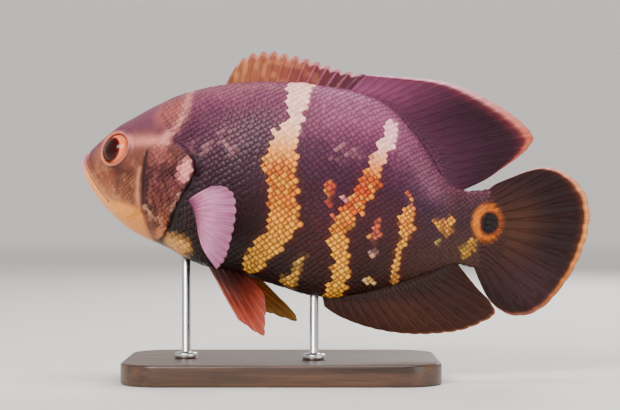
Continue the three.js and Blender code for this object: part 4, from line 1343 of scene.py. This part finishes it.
def patch_places(side, s_range, w_range, pitch):
    """Small scales on the cheek and gill cover, in staggered rows."""
    places = []
    odd = 0
    for s in np.arange(*s_range, pitch * 0.5):
        for w in np.arange(*w_range, pitch):
            height = w + 0.5 * pitch * odd
            angle = float(angle_at(np.float64(s), np.float64(height), side))
            places.append((s, angle, pitch * 1.85, pitch * 1.35))
        odd = 1 - odd
    return places


def sheath_places(fin, side, v_from, v_to, first, last, t_from, t_to):
    """Small scales on a fin's base: points, facings, tailward directions, sizes and colours."""
    column, wave_of, colour = fin
    rows = []
    v = v_from
    odd = 0
    while v < v_to:
        share = (v - v_from) / (v_to - v_from)
        pitch = mix(first, last, share)
        root, tip = column(np.array([0.0, 0.5, 1.0]))
        span = np.linalg.norm((root + (tip - root) * v)[2] - (root + (tip - root) * v)[0])
        count = max(3, int(span * (t_to - t_from) / pitch))
        t = t_from + (np.arange(count) + 0.25 + 0.5 * odd) / count * (t_to - t_from)
        root, tip = column(t)
        at = root + (tip - root) * v
        level = np.full(len(t), v)
        tint = colour(t, level, 0 * t, at[:, 0], at[:, 2])
        at[:, 1] += wave_of(t, level) + side * (0.4 * (1 - share) + 0.16)
        rows.append((at, unit(tip - root), np.full(len(t), pitch), tint))
        v += pitch * 0.8 / np.linalg.norm(tip - root, axis=1).mean()
        odd = 1 - odd
    at = np.vstack([row[0] for row in rows])
    tailward = np.vstack([row[1] for row in rows])
    pitch = np.concatenate([row[2] for row in rows])
    facing = np.tile((0.0, float(side), 0.0), (len(at), 1))
    size = np.stack([pitch * 1.6, pitch * 1.25, pitch * 0.8], axis=-1)
    return at, facing, tailward, size, np.vstack([row[3] for row in rows])


# The share of the unwrap that one scale takes
UNWRAP_PATCH = 0.003


def unwrap(s, w):
    """A place on the flat unwrap of one side: station along, girth up, fin bases above and below."""
    u = 0.01 + 0.97 * s / TOTAL_LENGTH
    over = np.clip((w - back(s)) / 40, 0, 1)
    under = np.clip((belly(s) - w) / 40, 0, 1)
    girth = np.clip((w - belly(s)) / (back(s) - belly(s)), 0, 1)
    level = 0.5 - np.arcsin(np.clip(1 - 2 * girth, -1, 1)) / np.pi
    return np.stack([u, 0.14 + 0.72 * level + 0.13 * over - 0.13 * under], axis=-1)


def scale_points(side, bases):
    """All the scales of one side in the straight fish: points, facings, directions, sizes, colours."""
    random = np.random.RandomState(5 + side)
    groups = [
        (flank_places(side), trunk_depth, 6.0, 1.0, 1.1),
        (patch_places(side, (48, 78), (-34, 20), 3.2), cover_depth, 3.0, 0.6, 0.2),
        (patch_places(side, (26, 47), (-24, 13), 2.7), cheek_depth, 4.0, 0.45, 0.2),
    ]
    parts = []
    for places, depth_of, border, relief_share, stray in groups:
        s, a, long, wide = np.array(places).T
        w = flesh_at(s, a)[:, 2]
        depth = depth_of(s, w)
        kept = depth > 0.5
        s, a, long, wide, depth = [column[kept] for column in (s, a, long, wide, depth)]
        full = ease(depth / border)
        at, facing, tailward = skin_frame(s, a)
        at = at - facing * (0.2 * (1 - full))[:, None]
        shrink = mix(0.85, 1.0, full)
        size = np.stack([long * shrink, wide * shrink, long * relief_share * mix(0.5, 1.0, full)], axis=-1)
        stray_s, stray_w = random.uniform(-stray, stray, (2, len(s)))
        tint = body_paint(at[:, 0] + stray_s, at[:, 1], at[:, 2] + 0.7 * stray_w, soft=0.5)
        parts.append((at, facing, tailward, size, tint))
    for fin, extent in bases:
        parts.append(sheath_places(fin, side, *extent))
    return [np.vstack(column) for column in zip(*parts)]


def scale_rims(tint, s, w, random):
    """The tints made a little uneven, and the darker colours of the scales' edges."""
    bright = ease((tint.max(axis=1) - 0.2) / 0.3)
    flecks = random.uniform(-1, 1, (len(tint), 1))
    gold = ease((30 - w) / 14) * bright * (s > 90)
    tint = tint * (1 + flecks * np.where(gold[:, None] > 0.3, 0.2, 0.08))
    tint = lay(tint, "#eab23c", 0.55 * gold * (random.rand(len(tint)) > 0.6))
    rim = lay(tint * 0.55, "#4a1206", 0.85 * gold)
    return tint, lay(rim, tint * 0.78, bright * (1 - gold))


def make_coat(side, name, tree, names, pattern, material, scales):
    at, facing, tailward, size, tint = scales
    seat = at
    at = at - tailward * size[:, :1] * 0.45
    points = mesh_object(f"coat_{name}_points", pose(at), [])
    mesh = points.data
    for label, vectors in (("facing", pose_direction(at, facing)), ("tailward", pose_direction(at, tailward)),
                           ("size", size * MM), ("seat", seat), ("slant", tailward)):
        set_vectors(mesh, label, vectors)
    tint, rim = scale_rims(tint, seat[:, 0], seat[:, 2], np.random.RandomState(15 + side))
    set_vectors(mesh, "tint", tint)
    set_vectors(mesh, "rim", rim)
    modifier = points.modifiers.new("scales", "NODES")
    modifier.node_group = tree
    for label, value in (("Scale", pattern), ("Size", 1.0), ("Unevenness", 0.07), ("Twist", 0.08),
                         ("Seed", 7 + side), ("Finish", material)):
        modifier[names[label]] = value
    piece = realized(points, f"coat_{name}")
    finish_scales(piece.data, side)
    dress(piece, material, "skin")


def realized(source, name):
    """The evaluated result of an object's nodes as a plain mesh of its own."""
    bpy.context.view_layer.update()
    graph = bpy.context.evaluated_depsgraph_get()
    mesh = bpy.data.meshes.new_from_object(source.evaluated_get(graph), preserve_all_data_layers=True,
                                           depsgraph=graph)
    mesh.name = name
    bpy.data.objects.remove(source)
    return add_piece(name, mesh)


def read_layer(mesh, name, key, width):
    layer = mesh.attributes[name]
    values = np.empty(len(layer.data) * width, np.float32)
    layer.data.foreach_get(key, values)
    return values.reshape(-1, width) if width > 1 else values


def finish_scales(mesh, side):
    """Colours each scale from its root's tint and gives it its patch of the unwrap."""
    ring = read_layer(mesh, "ring", "value", 1)
    reach = read_layer(mesh, "reach", "value", 1)
    across = read_layer(mesh, "side", "value", 1)
    tint, rim = read_layer(mesh, "tint", "vector", 3), read_layer(mesh, "rim", "vector", 3)
    edge = ease((ring - 0.6) / 0.4)[:, None]
    root = ease((0.55 - reach) / 0.3)[:, None]
    paint = mix(tint, rim, np.maximum(edge, 0.8 * root))
    seat, slant = read_layer(mesh, "seat", "vector", 3), read_layer(mesh, "slant", "vector", 3)
    size = read_layer(mesh, "size", "vector", 3) / MM
    forward, up = (reach - 0.5) * size[:, 0], -side * across * size[:, 1]
    s = seat[:, 0] + forward * slant[:, 0] - up * slant[:, 2]
    w = seat[:, 2] + forward * slant[:, 2] + up * slant[:, 0]
    paint = tail_spot_paint(paint, s, w)
    place = unwrap(seat[:, 0], seat[:, 2])
    u = place[:, 0] + (reach - 0.5) * UNWRAP_PATCH
    v = place[:, 1] + across * UNWRAP_PATCH
    for label in ("reach", "side", "tint", "rim", "seat", "slant", "facing", "tailward", "size"):
        if label in mesh.attributes:
            mesh.attributes.remove(mesh.attributes[label])
    set_paint(mesh, paint)
    corner = np.empty(len(mesh.loops), np.int32)
    mesh.loops.foreach_get("vertex_index", corner)
    unwrap_layer = mesh.uv_layers.new(name="OFBake")
    unwrap_layer.data.foreach_set("uv", np.stack([u[corner], v[corner]], axis=-1).astype(np.float32).ravel())


# The scales on the fin bases: from and to along the rays, first and last pitch, from and to across the fin
SHEATHS = {
    "tail": (0.02, 0.3, 2.8, 1.3, 0.06, 0.92),
    "soft": (0.07, 0.2, 2.4, 1.5, 0.12, 0.96),
    "anal": (0.14, 0.28, 2.2, 1.4, 0.14, 0.96),
}


def make_coats(material):
    tree, names = scale_tree()
    pattern = scale_template()
    fins = scaled_fins()
    bases = [(fins[fin], extent) for fin, extent in SHEATHS.items()]
    for side, name in ((LEFT, "left"), (RIGHT, "right")):
        scales = scale_points(side, bases)
        rear = scales[0][:, 0] > COAT_SPLIT
        for half, label in ((~rear, "front"), (rear, "rear")):
            chosen = [part[half] for part in scales]
            make_coat(side, f"{name}_{label}", tree, names, pattern, material, chosen)
    bpy.data.objects.remove(pattern)
    bpy.data.node_groups.remove(tree)


# The stand

BASE = {"length": 178.0, "width": 104.0, "thick": 12.0, "corner": 22.0, "bevel": 1.6, "x": -30.0, "y": 0.0}
ROD = {"radius": 2.5, "collar": 6.5, "collar_height": 3.5, "rounding": 1.2, "into_belly": 1.5}
ROD_AT = {"front": 73.0, "rear": 149.0}


def make_base(material):
    corner_steps, bevel_steps = 20, 6
    bevel = [(BASE["bevel"] * (1 - math.sin(t)), BASE["bevel"] * (1 - math.cos(t)))
             for t in np.linspace(0, math.pi / 2, bevel_steps)]
    levels = bevel + [(inset, BASE["thick"] - z) for inset, z in reversed(bevel)]
    points = []
    for inset, z in levels:
        radius = BASE["corner"] - inset
        for quarter, (sx, sy) in enumerate(((1, 1), (-1, 1), (-1, -1), (1, -1))):
            cx = BASE["x"] + sx * (BASE["length"] / 2 - BASE["corner"])
            cy = BASE["y"] + sy * (BASE["width"] / 2 - BASE["corner"])
            for step in range(corner_steps + 1):
                turn = (quarter + step / corner_steps) * math.pi / 2
                points.append((cx + radius * math.cos(turn), cy + radius * math.sin(turn), z))
    count = len(points) // len(levels)
    faces = [tuple(range(count))[::-1], tuple(range(len(points) - count, len(points)))]
    faces += ring_faces(len(levels), count)
    piece = mesh_object("base_block", np.array(points) * MM, faces)
    for polygon in piece.data.polygons:
        polygon.use_smooth = len(polygon.vertices) == 4
    recalculate(piece)
    dress(piece, material, "base", "stand_base")


def turned(profile, x, y, sides):
    """Points round an upright axis, from rows of radius and height."""
    return [(x + radius * c, y + radius * v, z) for radius, z in profile for c, v in circle(sides)]


def make_rod(name, station, material):
    """A rod from the base's top to just inside the belly, with a collar at its foot."""
    x, y, under_belly = pose(np.array([[station, 0.0, float(belly(np.float64(station)))]]))[0] / MM
    floor, top = BASE["thick"], under_belly + ROD["into_belly"]
    collar, height, rod, soft = ROD["collar"], ROD["collar_height"], ROD["radius"], ROD["rounding"]
    profile = [(collar, floor), (collar, floor + height * 0.45)]
    for turn in np.linspace(0, math.pi / 2, 6):
        profile.append((collar - soft + soft * math.cos(turn), floor + height - soft + soft * math.sin(turn)))
    profile += [(rod + 0.6, floor + height), (rod, floor + height + 0.6), (rod, top - 0.4), (rod - 0.4, top)]
    sides = 40
    points = [(x, y, floor), (x, y, top), *turned(profile, x, y, sides)]
    rows = len(profile)
    faces = fan_faces(0, 2, sides, flip=True) + fan_faces(1, 2 + (rows - 1) * sides, sides)
    faces += ring_faces(rows, sides, first=2)
    piece = mesh_object(f"rod_{name}", np.array(points) * MM, faces)
    smooth = [abs(polygon.normal.z) < 0.98 for polygon in piece.data.polygons]
    piece.data.polygons.foreach_set("use_smooth", smooth)
    dress(piece, material, "rod", f"stand_rod_{name}")


# The stage, the lights and the camera

# The backdrop in metres, and the lamps: place, size, power and colour
STAGE = {"floor": 3.4, "bend": 1.4, "wall": 4.5}
LAMPS = {
    "key": ((-0.5, -1.0, 0.85), 0.6, 21.0, (1.0, 0.97, 0.94)),
    "top": ((0.1, 0.1, 1.3), 0.7, 13.0, (1.0, 0.95, 0.98)),
    "fill": ((1.0, -0.8, 0.4), 0.8, 6.0, (0.97, 0.98, 1.0)),
    "back": ((0.5, 1.1, 0.8), 0.6, 14.0, (1.0, 1.0, 1.0)),
}
LAMPS_AIM = (0.0, 0.0, 0.1)
# The photo's frame in pixels across, the millimetres of a pixel at the fish, and the camera
PHOTO_WIDTH = 620
PIXEL = 0.565
CAMERA = {"distance": 950.0, "x": -14.0, "fish_y": -12.0, "z": 99.0, "sensor": 36.0}


def make_stage():
    """A round pale floor whose edge curves up into a wall, so that every side has the same backdrop."""
    floor, bend, sides = STAGE["floor"], STAGE["bend"], 96
    profile = [(0.02, 0.0), (1.2, 0.0), (floor, 0.0)]
    for turn in np.linspace(0, math.pi / 2, 16)[1:]:
        profile.append((floor + bend * math.sin(turn), bend - bend * math.cos(turn)))
    profile.append((floor + bend, STAGE["wall"]))
    points = [(0.0, 0.0, 0.0), *turned(profile, 0.0, 0.0, sides)]
    faces = fan_faces(0, 1, sides) + ring_faces(len(profile), sides, first=1, flip=True)
    stage = mesh_object("paper_sweep", points, faces)
    stage.data.materials.append(stage_material())


def make_lights():
    for name, (at, size, power, colour) in LAMPS.items():
        light = bpy.data.lights.new(name, "AREA")
        light.shape = "DISK"
        light.size = size
        light.energy = power
        light.color = colour
        lamp = bpy.data.objects.new(name, light)
        lamp.location = at
        lamp.rotation_euler = (Vector(LAMPS_AIM) - Vector(at)).to_track_quat("-Z", "Y").to_euler()
        bpy.context.scene.collection.objects.link(lamp)
    world = bpy.data.worlds.new("studio")
    world.use_nodes = True
    sky = world.node_tree.nodes["Background"]
    sky.inputs["Color"].default_value = (0.9, 0.92, 1.0, 1)
    sky.inputs["Strength"].default_value = 0.35
    bpy.context.scene.world = world


def make_camera():
    """Looks straight across at the fish, with the photo's width at its distance."""
    camera = bpy.data.cameras.new("camera")
    camera.sensor_width = CAMERA["sensor"]
    camera.lens = CAMERA["sensor"] * CAMERA["distance"] / (PHOTO_WIDTH * PIXEL)
    camera.clip_start = 0.05
    camera.clip_end = 20.0
    holder = bpy.data.objects.new("camera", camera)
    holder.location = (CAMERA["x"] * MM, (CAMERA["fish_y"] - CAMERA["distance"]) * MM, CAMERA["z"] * MM)
    holder.rotation_euler = (math.pi / 2, 0, 0)
    bpy.context.scene.collection.objects.link(holder)
    bpy.context.scene.camera = holder


def main():
    skin, scales, fins = [painted_material(name) for name in PAINTED]
    make_skin(skin)
    make_nostrils(skin)
    for side, name in ((LEFT, "left"), (RIGHT, "right")):
        make_eye(side, name, eye_material(), skin)
    make_fins(fins)
    make_coats(scales)
    make_base(wood_material())
    steel = steel_material()
    for name, station in ROD_AT.items():
        make_rod(name, station, steel)
    make_stage()
    make_lights()
    make_camera()
    bpy.context.view_layer.update()


main()
